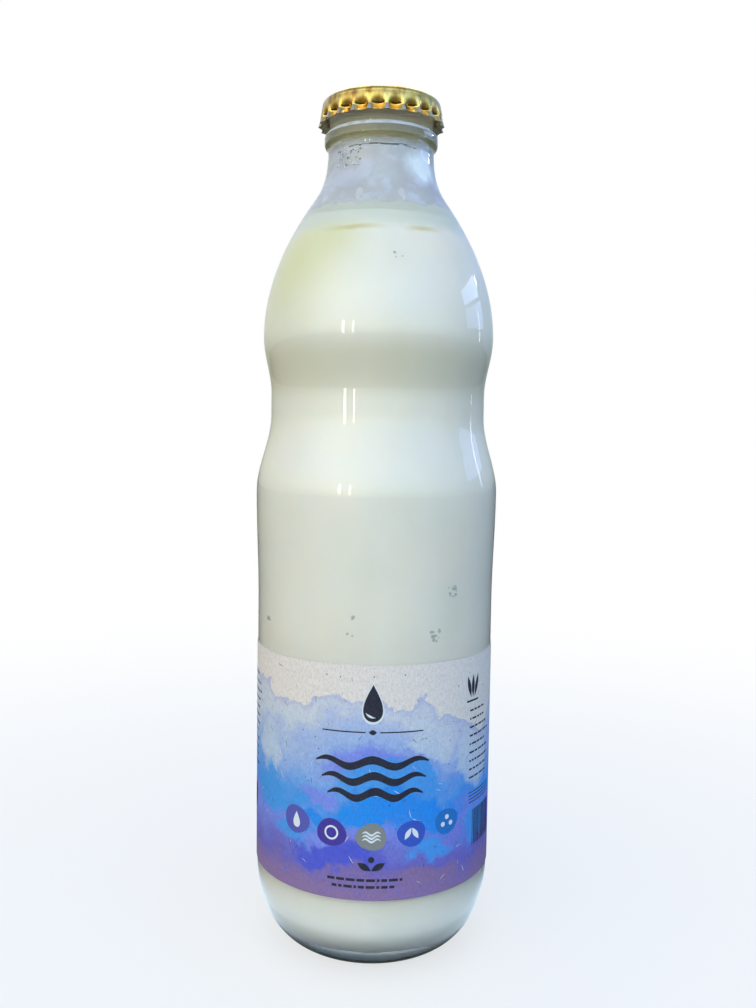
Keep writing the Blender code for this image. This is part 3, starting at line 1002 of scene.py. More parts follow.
def ink_material(name, colour, patchiness=0.12):
    """Printing ink that lets a little of the paper's grain through."""
    material, tree, shader, here = new_material(name)
    grain = mottle(tree, here, 1500.0, 0.35, 0.7)
    lighter = tuple(min(1.0, channel + 0.12) for channel in colour)
    feed(tree, shader, {
        "Base Color": mix_colours(tree, times(tree, grain, patchiness), colour, lighter), "Roughness": 0.6,
        "Normal": bump(tree, grain, 0.2, 0.0001),
    })
    return material


def floor_material(stage):
    """A matt floor: pale and even to the camera. To the bottle it is a painted shadow right under the foot,
    glows close by as painted light, and is dark further off.
    """
    material, tree, shader, here = new_material("Pale studio floor")
    feed(tree, shader, {"Base Color": stage.floor, "Roughness": 0.9})
    away = vector_maths(tree, "LENGTH", here)
    glow = add_node(tree, "ShaderNodeEmission", {"Color": stage.backdrop}).outputs[0]
    pale = either_shader(tree, ramp(tree, away, 0.08, 0.6, 0.62, 1.0), shader.outputs[0], glow)
    # Painted shadow under the foot, ringed by a glow that stands in for light off the floor
    bounce = mix_colours(tree, ramp(tree, away, 0.030, 0.040), stage.ground_under_painted_shadow, stage.ground_near_painted_glow)
    bounce = add_node(tree, "ShaderNodeEmission", {"Color": bounce}).outputs[0]
    far = add_node(tree, "ShaderNodeBsdfDiffuse", {"Color": stage.ground_far}).outputs[0]
    matt = either_shader(tree, ramp(tree, away, 0.046, 0.078), bounce, far)
    show(tree, either_shader(tree, ray_is(tree, "Camera"), matt, pale))
    return material


# Flat shapes for the label's print, in metres: x runs round the label from the middle of its front, and
# y is the height


def slab(outlines, low, thickness, strip=0.0015):
    """A closed flat plate for each outline, cut into strips so that it can follow a curve."""
    mesh = bmesh.new()
    for outline in outlines:
        face = mesh.faces.new([mesh.verts.new((x, y, low)) for x, y in outline])
        face.normal_update()
        if face.normal.z < 0:
            face.normal_flip()
    bmesh.ops.triangulate(mesh, faces=mesh.faces[:])
    xs = [vertex.co.x for vertex in mesh.verts]
    for i in range(math.ceil(min(xs) / strip), math.floor(max(xs) / strip) + 1):
        bmesh.ops.bisect_plane(
            mesh, geom=mesh.verts[:] + mesh.edges[:] + mesh.faces[:], dist=1e-7,
            plane_co=(i * strip, 0, 0), plane_no=(1, 0, 0),
        )
    raised = bmesh.ops.extrude_face_region(mesh, geom=mesh.faces[:])
    top = [item for item in raised["geom"] if isinstance(item, bmesh.types.BMVert)]
    bmesh.ops.translate(mesh, verts=top, vec=(0, 0, thickness))
    bmesh.ops.recalc_face_normals(mesh, faces=mesh.faces[:])
    return mesh


def wrapped_piece(name, flat, radius, material, **lap):
    """A flat bmesh wrapped round the bottle at a radius."""
    mesh = bpy.data.meshes.new(name + "_flat")
    flat.to_mesh(mesh)
    flat.free()
    values = {"Radius": radius, "Finish": material, **lap}
    tree = tree_named("Wrap round the bottle", wrapping_tree)
    return grown(new_object(name + "_flat", mesh), name, tree, values)


def box_outline(x, y, width, height):
    return [(x - width / 2, y - height / 2), (x + width / 2, y - height / 2),
            (x + width / 2, y + height / 2), (x - width / 2, y + height / 2)]


def bar_outline(x, y, width, height):
    """A bar with round ends, its middle at (x, y)."""
    radius = height / 2
    right = arc((x + width / 2 - radius, y), radius, -90, 90, 6)
    return right + arc((x - width / 2 + radius, y), radius, 90, 270, 6)


def blob_outline(x, y, radius, squash=1.0, wobble=0.04, lobes=3, turn=0.0, steps=40):
    """A disc whose edge wavers a little, as a cut by hand does."""
    points = []
    for i in range(steps):
        angle = math.tau * i / steps
        reach = radius * (1 + wobble * math.cos(lobes * angle + turn))
        points.append((x + reach * math.cos(angle), y + squash * reach * math.sin(angle)))
    return points


def drop_outline(x, y, height, steps=36):
    """A drop with its point up, its middle at (x, y)."""
    points = []
    for i in range(steps):
        angle = math.tau * i / steps
        width = 0.36 * height * math.sin(angle) * math.sin(angle / 2) ** 1.3
        points.append((x + width, y + 0.5 * height * math.cos(angle)))
    return points


def wave_outline(x, y, length, thickness, swing, waves, steps=60):
    """A brush-like wavy stroke that thins towards both ends."""
    upper, lower = [], []
    for i in range(steps + 1):
        t = i / steps
        middle = swing * math.sin(math.tau * waves * t)
        half = thickness / 2 * math.sin(math.pi * min(max(t, 0.015), 0.985)) ** 0.45
        place = x - length / 2 + length * t
        upper.append((place, y + middle + half))
        lower.append((place, y + middle - half))
    return lower + upper[::-1]


def ring_outlines(x, y, radius, width):
    """A ring as two half rings, each one outline."""
    return [
        arc((x, y), radius, start, start + 180, 12) + arc((x, y), radius - width, start, start + 180, 12)[::-1]
        for start in (0, 180)
    ]


def crescent_outline(x, y, radius, thickness, start_deg, end_deg, steps=14):
    """A crescent that is thickest halfway and thins to points."""
    outer, inner = [], []
    for i in range(steps + 1):
        t = i / steps
        angle = math.radians(start_deg + (end_deg - start_deg) * t)
        deep = radius - thickness * math.sin(math.pi * min(max(t, 0.03), 0.97))
        outer.append((x + radius * math.cos(angle), y + radius * math.sin(angle)))
        inner.append((x + deep * math.cos(angle), y + deep * math.sin(angle)))
    return outer + inner[::-1]


def leaf_outline(x, y, length, width, turn_deg, steps=12):
    """A pointed leaf with its middle at (x, y)."""
    turn = math.radians(turn_deg)
    points = []
    for side in (1, -1):
        for i in range(steps):
            t = i / steps if side > 0 else 1 - i / steps
            along = length * (t - 0.5)
            across = side * width / 2 * math.sin(math.pi * t)
            points.append((x + along * math.cos(turn) - across * math.sin(turn),
                           y + along * math.sin(turn) + across * math.cos(turn)))
    return points


def dash_rows(left, top, rows, pitch, longest, tall, seed):
    """Rows of short bars of uneven length, packed close, that end raggedly at the right."""
    draw = random.Random(seed)
    outlines = []
    for row in range(rows):
        y = top - row * pitch
        end = left + longest * draw.uniform(0.62, 1.0)
        x = left
        while x < end - 0.0006:
            width = min(draw.uniform(0.0008, 0.0030), end - x)
            outlines.append(box_outline(x + width / 2, y, width, tall))
            x += width + 0.00055
    return outlines


# Properties


class GlassLooks(bpy.types.PropertyGroup):
    wall: length_setting("Wall", "Thickness of the glass", 0.00285)
    segments: IntProperty(name="Segments", description="Facets round the bottle", default=128, min=32)
    scuff_cover: FloatProperty(name="Scuff", description="Cover of the scuffing on the bead", default=0.27)
    # Pale scuffing on the bead, also a painted highlight along its top
    scuff: colour_setting("Scuff colour", "Colour of the scuffing on the bead", 236, 240, 255)
    tint: FloatVectorProperty(
        name="Tint", description="Colour of thin glass", default=(0.985, 0.99, 0.985), subtype="COLOR"
    )
    # Tint of the thick glass at the foot, made darker as painted shade
    heel_tint_and_shade: colour_setting("Thick tint", "Colour of the thick glass at the foot", 88, 96, 94)


class YogurtLooks(bpy.types.PropertyGroup):
    level: length_setting("Level", "Height of the yogurt's surface", YOGURT_HIGH.z - 0.0014)
    body: colour_setting("Body", "Main colour of the yogurt", 243, 238, 231)
    body_cool: colour_setting("Cool body", "Colour of its cloudy patches", 238, 237, 232)
    # Darker tone of the faint streaks and of the painted shade in the waist
    streaks_and_painted_shade: colour_setting("Shaded body", "Colour of its faint streaks", 204, 200, 172)
    top: colour_setting("Top", "Colour just under and over the level", 217, 221, 212)
    cream: colour_setting("Cream", "Colour of the cream near the top", 222, 221, 172)
    cream_line: colour_setting("Cream line", "Colour of the thin line of cream", 208, 196, 140)
    film_cover: FloatProperty(
        name="Film cover", description="Least cover of the film inside the neck", default=0.56, min=0, max=1
    )
    # Strength of the painted glow in the finish and in the film's highlight patches
    finish_glow: FloatProperty(
        name="Finish glow", description="Light that seeps through the film inside the finish",
        default=0.26, min=0, max=1,
    )
    finish_cover: FloatProperty(
        name="Finish cover", description="Share of the film's cover that is left inside the finish",
        default=0.5, min=0, max=1,
    )
    film: colour_setting("Film", "Colour of the film inside the neck", 216, 217, 226)
    film_cool: colour_setting("Cool film", "Colour of the film's clouds", 230, 235, 254)
    # Painted shade on the film's sides and below the bead
    film_shade: colour_setting("Film shade", "Colour of its thin patches", 184, 187, 190)
    # Painted highlight on the film in the neck
    film_painted_highlight: colour_setting("Bright film", "Colour of its thick patches", 226, 242, 255)
    # Olive painted shade on the film inside the finish
    film_finish_painted_shade: colour_setting("Finish film", "Colour of the film inside the finish", 176, 172, 136)
    # Colour of the film below the cap, which also colours its painted glow
    film_under_cap: colour_setting("Film under the cap", "Colour of the film below the cap", 196, 194, 174)
    crust: colour_setting("Crust", "Colour of dried yogurt", 226, 230, 232)
    # Dim tone of some curd flecks, and the painted shadow along the crust
    crust_dim_and_shadow: colour_setting("Dim crust", "Colour of dried yogurt off the glass", 70, 72, 68)
    # Grey of trapped air and of its darker rim: painted shade of the small pit
    bubble: colour_setting("Bubble", "Colour of trapped air", 196, 204, 204)
    bubble_rim_painted_shade: colour_setting("Bubble edge", "Colour of trapped air at its edge", 146, 154, 152)


class CapLooks(bpy.types.PropertyGroup):
    flutes: IntProperty(name="Flutes", description="Number of flutes round the skirt", default=23, min=6)
    first_valley: FloatProperty(
        name="First valley", description="Turn of the cap, from the front to the nearest valley",
        default=math.radians(-3.2), subtype="ANGLE",
    )
    valley_depth: length_setting("Valley depth", "How deep the flutes are pressed", 0.0022)
    sheet: length_setting("Sheet", "Thickness of the metal", 0.0004)
    gold: colour_setting("Gold", "Colour of the lacquer", 202, 172, 88)
    gold_deep: colour_setting("Deep gold", "Colour of the lacquer where it is thick", 150, 106, 42)
    gold_pale: colour_setting("Pale gold", "Colour of the lacquer where it is thin", 216, 200, 128)
    gold_smudge_and_shade: colour_setting("Smudge", "Colour of the smudges over the flutes", 112, 84, 42)
    # Paler amber in the flutes' valleys and on the flare: painted light
    amber_painted_light: colour_setting("Amber", "Colour of the lacquer on the flutes' lower ends", 240, 194, 104)
    # Dark smudges over the flutes, partly painted shade
    steel: colour_setting("Steel", "Colour of the bare steel", 196, 194, 214)
    inner_lacquer: colour_setting("Inner lacquer", "Colour of the cap's inside", 206, 202, 176)


class LabelLooks(bpy.types.PropertyGroup):
    paper_thickness: length_setting("Paper", "Thickness of the paper", 0.00014)
    print_thickness: length_setting("Print", "Thickness of the ink", 0.00003)
    wash_top: length_setting("Wash top", "Height that the wash reaches", 0.0915)
    paper: colour_setting("Paper colour", "Colour of the bare paper", 240, 232, 234)
    paper_light: colour_setting("Pale grain", "Colour of the paper's pale grain", 226, 222, 220)
    fibre: colour_setting("Fibre", "Colour of the paper's fine fibres", 132, 124, 140)
    fleck: colour_setting("Fleck", "Colour of the dark fibres in the paper", 64, 54, 96)
    fleck_pale: colour_setting("Pale fleck", "Colour of the pale fibres in the paper", 226, 222, 226)
    wash_pale: colour_setting("Pale wash", "Wash near its upper edge", 198, 216, 246)
    wash_light: colour_setting("Light wash", "Wash above the middle", 158, 188, 248)
    wash_blue: colour_setting("Blue wash", "Wash in the middle", 66, 160, 250)
    wash_azure: colour_setting("Azure wash", "Strongest blue of the wash", 4, 146, 255)
    wash_lavender: colour_setting("Lavender wash", "Wash between the blue and the indigo", 128, 146, 248)
    wash_indigo: colour_setting("Indigo wash", "Wash below the middle", 74, 88, 222)
    wash_violet: colour_setting("Violet wash", "Wash near the foot", 110, 104, 200)
    wash_pink: colour_setting("Pink wash", "Wash along the lower edge", 142, 114, 166)
    wash_edge: colour_setting("Wash edge", "Darker line where the wash dried", 104, 116, 226)
    ink: colour_setting("Dark ink", "Colour of the dark print", 22, 26, 52)
    ink_white: colour_setting("White ink", "Colour of the white print", 226, 232, 246)
    badge_1: colour_setting("First badge", "Colour of the first round badge", 84, 88, 186)
    badge_2: colour_setting("Second badge", "Colour of the second round badge", 62, 48, 160)
    badge_3: colour_setting("Third badge", "Colour of the third round badge", 130, 135, 140)
    badge_4: colour_setting("Fourth badge", "Colour of the fourth round badge", 45, 85, 200)
    badge_5: colour_setting("Fifth badge", "Colour of the fifth round badge", 20, 115, 205)


class StageSettings(bpy.types.PropertyGroup):
    lens: FloatProperty(name="Lens", description="Focal length in millimetres", default=34.28)
    distance: length_setting("Distance", "From the camera to the bottle's axis", 0.33076)
    height: length_setting("Height", "Height of the camera", 0.17368)
    aside: length_setting("Aside", "How far the camera stands to the right", 0.0006)
    tilt: FloatProperty(
        name="Tilt", description="How far the camera looks down", default=math.radians(4.12), subtype="ANGLE"
    )
    roll: FloatProperty(
        name="Roll", description="Turn of the camera about its line of sight", default=math.radians(0.80),
        subtype="ANGLE",
    )
    backdrop: FloatVectorProperty(
        name="Backdrop", description="Tone of the far floor and the backdrop", default=(1.0, 1.0, 1.0),
        subtype="COLOR",
    )
    floor: FloatVectorProperty(
        name="Floor", description="Colour of the floor under the bottle", default=(0.88, 0.88, 0.88),
        subtype="COLOR",
    )
    # Painted shadow under the foot, as the foot's glass sees it
    ground_under_painted_shadow: FloatVectorProperty(
        name="Ground below", description="What the foot's glass sees of the floor under it",
        default=(0.05, 0.055, 0.055), subtype="COLOR",
    )
    # Painted glow of the floor close by, as the bottle sees it
    ground_near_painted_glow: FloatVectorProperty(
        name="Near ground", description="What the bottle sees of the floor close by",
        default=(0.94, 1.18, 1.42), subtype="COLOR",
    )
    ground_far: FloatVectorProperty(
        name="Far ground", description="What the bottle sees of the floor further off",
        default=(0.045, 0.036, 0.014), subtype="COLOR",
    )


# Operators

# Clusters of trapped air: turn in degrees, height in mm, half height in mm, half width in degrees, number
BUBBLE_CLUSTERS = (
    (39.5, 124.5, 1.6, 2.6, 9), (29.5, 111.0, 2.2, 2.8, 10), (-9.0, 117.5, 0.5, 1.4, 3),
    (-11.0, 112.0, 0.6, 1.6, 3), (-62.0, 113.0, 0.7, 2.0, 4), (10.0, 228.5, 0.9, 2.5, 2),
    (118.0, 150.0, 3.0, 6.0, 9), (-140.0, 200.0, 3.0, 7.0, 9),
)

# The emblem on the label's front, in metres on the sheet
EMBLEM_PLACE = (0.0, 0.0912)
EMBLEM_HEIGHT = 0.0118

# How much of its lower half a small dome keeps, so that its base is nearly flat
BASE_SHARE = 0.05


def dome(name, radius, height_share, segments):
    """A low dome on a flat base, its top on +Z."""
    mesh = bmesh.new()
    bmesh.ops.create_uvsphere(mesh, u_segments=segments, v_segments=6, radius=radius)
    for vertex in mesh.verts:
        vertex.co.z *= height_share if vertex.co.z > 0 else BASE_SHARE
    data = bpy.data.meshes.new(name)
    mesh.to_mesh(data)
    mesh.free()
    data.shade_smooth()
    return new_object(name, data)


class BOTTLE_OT_glass(bpy.types.Operator):
    """Turn the clear glass bottle"""

    bl_idname = "bottle.glass"
    bl_label = "Glass Bottle"

    def execute(self, context):
        looks = context.scene.bottle_glass
        corner = (MOUTH_RADIUS_MM + MOUTH_CORNER_MM, LIP_TOP_MM - MOUTH_CORNER_MM)
        mouth = arc(corner, MOUTH_CORNER_MM, 90, 180, 5)
        outline = glass_outside() + mouth[1:] + glass_inside(looks.wall / MM)
        piece = turned_piece("bottle_glass", outline, looks.segments, glass_material(looks))
        add_to_bottle(piece, "glass_bottle")
        # A pale ring on the bead's upper rounding: scuffing and painted highlight
        centre = (BEAD_RADIUS_MM - BEAD_UPPER_CORNER_MM, BEAD_TOP_MM - BEAD_UPPER_CORNER_MM)
        under = arc(centre, BEAD_UPPER_CORNER_MM - 0.02, 12, 74, 10)
        over = arc(centre, BEAD_UPPER_CORNER_MM + 0.02, 12, 74, 10)
        ring = over + under[::-1] + over[:1]
        add_to_bottle(turned_piece("bead_scuff", ring, looks.segments, scuff_and_highlight_material(looks)))
        return {"FINISHED"}


class BOTTLE_OT_yogurt(bpy.types.Operator):
    """Fill the bottle with yogurt, coat the neck with its film and add the marks seen against the glass"""

    bl_idname = "bottle.yogurt"
    bl_label = "Yogurt"

    def execute(self, context):
        looks = context.scene.bottle_yogurt
        wall_mm = context.scene.bottle_glass.wall / MM
        segments = context.scene.bottle_glass.segments
        self.fill(looks, wall_mm, segments)
        self.film(looks, wall_mm, segments)
        self.crust(looks, wall_mm)
        self.curds(looks, wall_mm)
        self.bubbles(looks, wall_mm)
        return {"FINISHED"}

    def fill(self, looks, wall_mm, segments):
        level = looks.level / MM
        wall = glass_inside(wall_mm - WETTED_MM)
        rim_height = level + RIM_RISE_MM
        rim_radius = radius_on(wall, rim_height)
        side = [point for point in wall if point[1] < rim_height - 0.3]
        surface = [(rim_radius, rim_height)]
        surface += [(rim_radius - 0.5, level + 0.45), (rim_radius - 1.2, level + 0.15)]
        surface += [(rim_radius * t, level) for t in (0.86, 0.6, 0.3, 0.0)]
        piece = turned_piece("yogurt_fill", side[::-1] + surface, segments, yogurt_material(looks))
        add_to_bottle(piece, "yogurt")

    def film(self, looks, wall_mm, segments):
        """A thin closed skin that wets the inside of the neck and of the finish."""
        low = looks.level / MM - FILM_LAP_MM
        wall = glass_inside(wall_mm - FILM_SUNK_MM)
        outer = [(radius_on(wall, height), height) for height in (low, low + 0.03)]
        outer += [point for point in wall[::-1] if point[1] > low + 0.1]
        outer.append((MOUTH_RADIUS_MM + FILM_SUNK_MM, FILM_TOP_MM))
        inner = inset(outer, FILM_SKIN_MM)
        piece = turned_piece("neck_film", outer + inner[::-1] + outer[:1], segments, film_material(looks))
        add_to_bottle(piece)

    def crust(self, looks, wall_mm):
        """A wavering line of dried yogurt under the bead, with dark lines of painted shadow along its upper
        edge and at its left end.
        """
        inside = radius_on(glass_inside(wall_mm - FILM_SUNK_MM), CRUST_HEIGHT_MM - 1)
        lines = (
            # Name, lift in mm, thickness in metres, left and right ends in degrees
            ("neck_crust", 0.0, 0.00016, -34.0, 46.0, curd_material(looks)),
            # These two lines are mostly dark: painted shadow along the crust's upper edge and at its left end
            ("neck_crust_gap", 0.26, 0.00014, -38.0, 34.0, crust_shadow_material(looks)),
            ("neck_crust_end", 0.20, 0.00020, -40.0, -28.0, crust_shadow_material(looks)),
        )
        for name, lift, thickness, left, right, material in lines:
            mesh = bpy.data.meshes.new(name + "_path")
            points = []
            for i in range(91):
                turn = left + (right - left) * i / 90
                sag = CRUST_SAG_MM * (1 - math.cos(math.radians(turn - CRUST_PEAK_DEG) * 1.6))
                points.append(turned_place(turn, CRUST_HEIGHT_MM + lift - sag, inside))
            mesh.from_pydata(points, [(i, i + 1) for i in range(len(points) - 1)], [])
            values = {"Radius": thickness, "Wander": 0.0016, "Grain": 190.0, "Finish": material}
            tree = tree_named("Line along a path", line_tree)
            add_to_bottle(grown(new_object(name + "_path", mesh), name, tree, values))

    def curds(self, looks, wall_mm):
        """Flecks of dried yogurt under the left of the crust."""
        low, high = CURDS_BETWEEN_MM
        wall = [point for point in glass_inside(wall_mm - FILM_SUNK_MM)[::-1] if low < point[1] < high]
        surface = side_patch("curd_patch", wall, -58.0, -24.0)
        curd = dome("curd", 1.0 * MM, 0.12, 8)
        piece = scattered(surface, "neck_curds", curd, curd_material(looks), CURDS_PER_M2, 0.14, 0.46, 11)
        add_to_bottle(piece)

    def bubbles(self, looks, wall_mm):
        """Air caught against the glass: a few clusters and single bubbles."""
        wall = glass_inside(wall_mm - WETTED_MM - 0.02)[::-1]
        material = bubble_material(looks)
        for index, (turn, height, size, spread, count) in enumerate(BUBBLE_CLUSTERS):
            levels = [height + lift for lift in (-size, 0.0, size)]
            patch_wall = [(radius_on(wall[::-1], level), level) for level in levels]
            surface = side_patch("bubble_patch", patch_wall, turn - spread, turn + spread, 4)
            area = 2 * size * MM * math.radians(2 * spread) * patch_wall[1][0] * MM
            piece = scattered(
                surface, f"air_bubbles_{index + 1}", dome("bubble", 1.0 * MM, 0.3, 12), material,
                count / area, 0.25, 0.62, 20 + index,
            )
            add_to_bottle(piece)


class BOTTLE_OT_cap(bpy.types.Operator):
    """Press the fluted crown cap"""

    bl_idname = "bottle.cap"
    bl_label = "Crown Cap"

    def execute(self, context):
        looks = context.scene.bottle_cap
        sheet = looks.sheet / MM
        outer = self.skirt(0.0) + self.shoulder(0.0) + self.top(0.0)
        inner = (self.skirt(sheet) + self.shoulder(sheet) + self.top(sheet))[::-1]
        profile = inner + outer
        deepest = looks.valley_depth / MM
        pressed = [self.pressed(height, deepest) for _, height in profile]
        piece = turned_piece(
            "cap_crown", profile, looks.flutes * CAP_STEPS_PER_FLUTE, cap_material(looks), pressed,
            **{
                "Flutes": looks.flutes, "First Valley": looks.first_valley - math.pi / 2,
                "Ridge Sharpness": CAP_RIDGE_POWER,
            },
        )
        add_to_bottle(piece, "crown_cap")
        return {"FINISHED"}

    def skirt(self, sheet):
        """The skirt's ridges from the rim up, moved in by the sheet's thickness."""
        start = CAP_DISC_RADIUS_MM + CAP_SHOULDER_MM
        points = []
        steps = 44
        for i in range(steps):
            t = 1 - i / steps
            height = CAP_SKIRT_TOP_MM + (CAP_RIM_HEIGHT_MM - CAP_SKIRT_TOP_MM) * t
            points.append((start + (CAP_HIGH.y / MM - start) * t - sheet, height))
        return points

    def shoulder(self, sheet):
        """The rounded shoulder, as a quarter of an ellipse."""
        points = []
        drop = CAP_HIGH.z / MM - CAP_SKIRT_TOP_MM
        for i in range(9):
            angle = math.pi / 2 * i / 8
            radius = CAP_DISC_RADIUS_MM + (CAP_SHOULDER_MM - sheet) * math.cos(angle)
            points.append((radius, CAP_SKIRT_TOP_MM + (drop - sheet) * math.sin(angle)))
        return points

    def top(self, sheet):
        height = CAP_HIGH.z / MM - sheet
        return [(CAP_DISC_RADIUS_MM * t, height) for t in (0.94, 0.85, 0.6, 0.3, 0.0)]

    def pressed(self, height, deepest):
        """How far the valleys lie inside the ridges at a height."""
        if height >= CAP_SKIRT_TOP_MM:
            return 0.0
        share = (CAP_SKIRT_TOP_MM - height) / (CAP_SKIRT_TOP_MM - CAP_VALLEY_HEIGHT_MM)
        scoop = deepest * share**CAP_SCOOP_POWER
        down = (CAP_VALLEY_HEIGHT_MM - height) / (CAP_VALLEY_HEIGHT_MM - CAP_RIM_HEIGHT_MM)
        flare = deepest + (CAP_RIM_DEPTH_MM - deepest) * down
        rounded = math.exp(-scoop / CAP_CREASE_MM) + math.exp(-flare / CAP_CREASE_MM)
        return max(0.0, -CAP_CREASE_MM * math.log(rounded))


class BOTTLE_OT_label(bpy.types.Operator):
    """Wrap the paper label round the bottle"""

    bl_idname = "bottle.label"
    bl_label = "Paper Label"

    def execute(self, context):
        looks = context.scene.bottle_label
        radius = LABEL_RADIUS_MM * MM
        half = math.pi * radius
        lap = math.radians(LAP_DEG) * radius
        rise = math.radians(LAP_RISE_DEG) * radius
        tall = LABEL_HIGH.z - LABEL_LOW.z
        outline = box_outline(lap / 2, (LABEL_LOW.z + LABEL_HIGH.z) / 2, 2 * half + lap, tall)
        flat = slab([outline], 0.0, looks.paper_thickness, 0.001)
        piece = wrapped_piece(
            "label_paper", flat, radius, paper_material(looks),
            **{"Lap Start": half - rise, "Lap Rise": rise, "Lap Lift": looks.paper_thickness * 1.4},
        )
        add_to_bottle(piece, "paper_label")
        return {"FINISHED"}


class BOTTLE_OT_print(bpy.types.Operator):
    """Print plain shapes on the label and lay fibres in its paper"""

    bl_idname = "bottle.print"
    bl_label = "Label Print"

    def execute(self, context):
        looks = context.scene.bottle_label
        self.radius = LABEL_RADIUS_MM * MM + looks.paper_thickness
        self.thickness = looks.print_thickness
        ink = ink_material("Dark ink", looks.ink)
        white = ink_material("White ink", looks.ink_white)
        self.emblem(ink, white)
        self.waves(ink)
        self.badges(looks, white)
        self.foot_of_front(ink)
        self.sides(ink)
        self.fibres(looks)
        return {"FINISHED"}

    def add(self, name, outlines, material, layer=0):
        low = layer * self.thickness
        piece = wrapped_piece(name, slab(outlines, low, self.thickness), self.radius, material)
        add_to_bottle(piece)

    def emblem(self, ink, white):
        x, y = EMBLEM_PLACE
        self.add("print_halo", [drop_outline(x, y, EMBLEM_HEIGHT * 1.13)], white)
        self.add("print_drop", [drop_outline(x, y, EMBLEM_HEIGHT)], ink, 1)
        shine = crescent_outline(x, y - 0.2 * EMBLEM_HEIGHT, 0.20 * EMBLEM_HEIGHT, 0.0007, 195, 290)
        self.add("print_drop_shine", [shine], white, 2)
        rule = y - 0.78 * EMBLEM_HEIGHT
        bars = [bar_outline(x + side * 0.0092, rule, 0.0140, 0.0004) for side in (-1, 1)]
        bars += [leaf_outline(x, rule, 0.0026, 0.0016, 0)]
        self.add("print_rule", bars, ink)

    def waves(self, ink):
        strokes = [
            wave_outline(0.0005 * i, 0.0722 - 0.0050 * i, 0.0365 - 0.0030 * i, 0.0026, 0.0011, 2.5)
            for i in range(3)
        ]
        self.add("print_waves", strokes, ink)

    def badges(self, looks, white):
        marks = []
        for i in range(5):
            x = (i - 2) * 0.0128
            y = 0.0488 + 0.0006 * (i - 2) ** 2
            tone = ink_material(f"Badge ink {i + 1}", getattr(looks, f"badge_{i + 1}"))
            outline = blob_outline(x, y, 0.0050 - 0.0001 * i, 0.9, 0.035, 3, 1.3 * i)
            self.add(f"print_badge_{i + 1}", [outline], tone)
            marks += self.badge_mark(i, x, y)
        self.add("print_badge_marks", marks, white, 1)

    def badge_mark(self, index, x, y):
        if index == 0:
            return [drop_outline(x, y, 0.0052)]
        if index == 1:
            return ring_outlines(x, y, 0.0023, 0.0006)
        if index == 2:
            return [wave_outline(x, y + 0.0011 * k, 0.0058, 0.0007, 0.0005, 1.5, 24) for k in (-1, 0, 1)]
        if index == 3:
            return [leaf_outline(x + side * 0.0012, y, 0.0042, 0.0016, 90 + side * 30) for side in (-1, 1)]
        return [blob_outline(x + dx, y + dy, 0.0008, 1.0, 0.0, steps=12)
                for dx, dy in ((-0.0016, -0.0008), (0.0016, -0.0008), (0.0, 0.0014))]

    def foot_of_front(self, ink):
        leaves = [leaf_outline(x, 0.0392, 0.0050, 0.0021, turn) for x, turn in ((-0.0022, 150), (0.0022, 30))]
        leaves += [blob_outline(0.0, 0.0415, 0.0010, 1.0, 0.0, steps=14)]
        self.add("print_leaves", leaves, ink)
        rows = dash_rows(-0.0140, 0.0349, 1, 0.002, 0.0280, 0.00085, 5)
        rows += dash_rows(-0.0125, 0.0327, 1, 0.002, 0.0250, 0.00085, 9)
        self.add("print_foot_dashes", rows, ink)

    def sides(self, ink):
        """Small print stood in for by dashes, rules and bars, at both edges of what the front shows."""
        self.add("print_right_dashes", dash_rows(0.0360, 0.0850, 9, 0.0028, 0.0150, 0.0006, 3), ink)
        self.add("print_left_dashes", dash_rows(-0.0620, 0.0930, 12, 0.0028, 0.0150, 0.0006, 4), ink)
        rules = [box_outline(0.0440, 0.0575 - 0.0011 * i, 0.0160, 0.0003) for i in range(4)]
        self.add("print_right_rules", rules, ink)
        draw = random.Random(8)
        bars, x = [], 0.0385
        while x < 0.0530:
            width = draw.choice((0.0003, 0.0005, 0.0008))
            bars.append(box_outline(x + width / 2, 0.0455, width, 0.0120))
            x += width + draw.choice((0.0003, 0.0006))
        self.add("print_right_bars", bars, ink)
        block = [leaf_outline(-0.0575 + 0.0024 * i, 0.0500, 0.0110, 0.0034, 90 - 15 * i) for i in (-1, 0, 1)]
        block += [bar_outline(-0.0575, 0.0428, 0.0080, 0.0007)]
        self.add("print_left_block", block, ink)
        picture = [leaf_outline(0.0375 + 0.0021 * i, 0.0930, 0.0075, 0.0017, 90 - 16 * i) for i in (-1, 0, 1)]
        picture += [bar_outline(0.0375, 0.0882, 0.0070, 0.0006)]
        self.add("print_right_sprig", picture, ink)

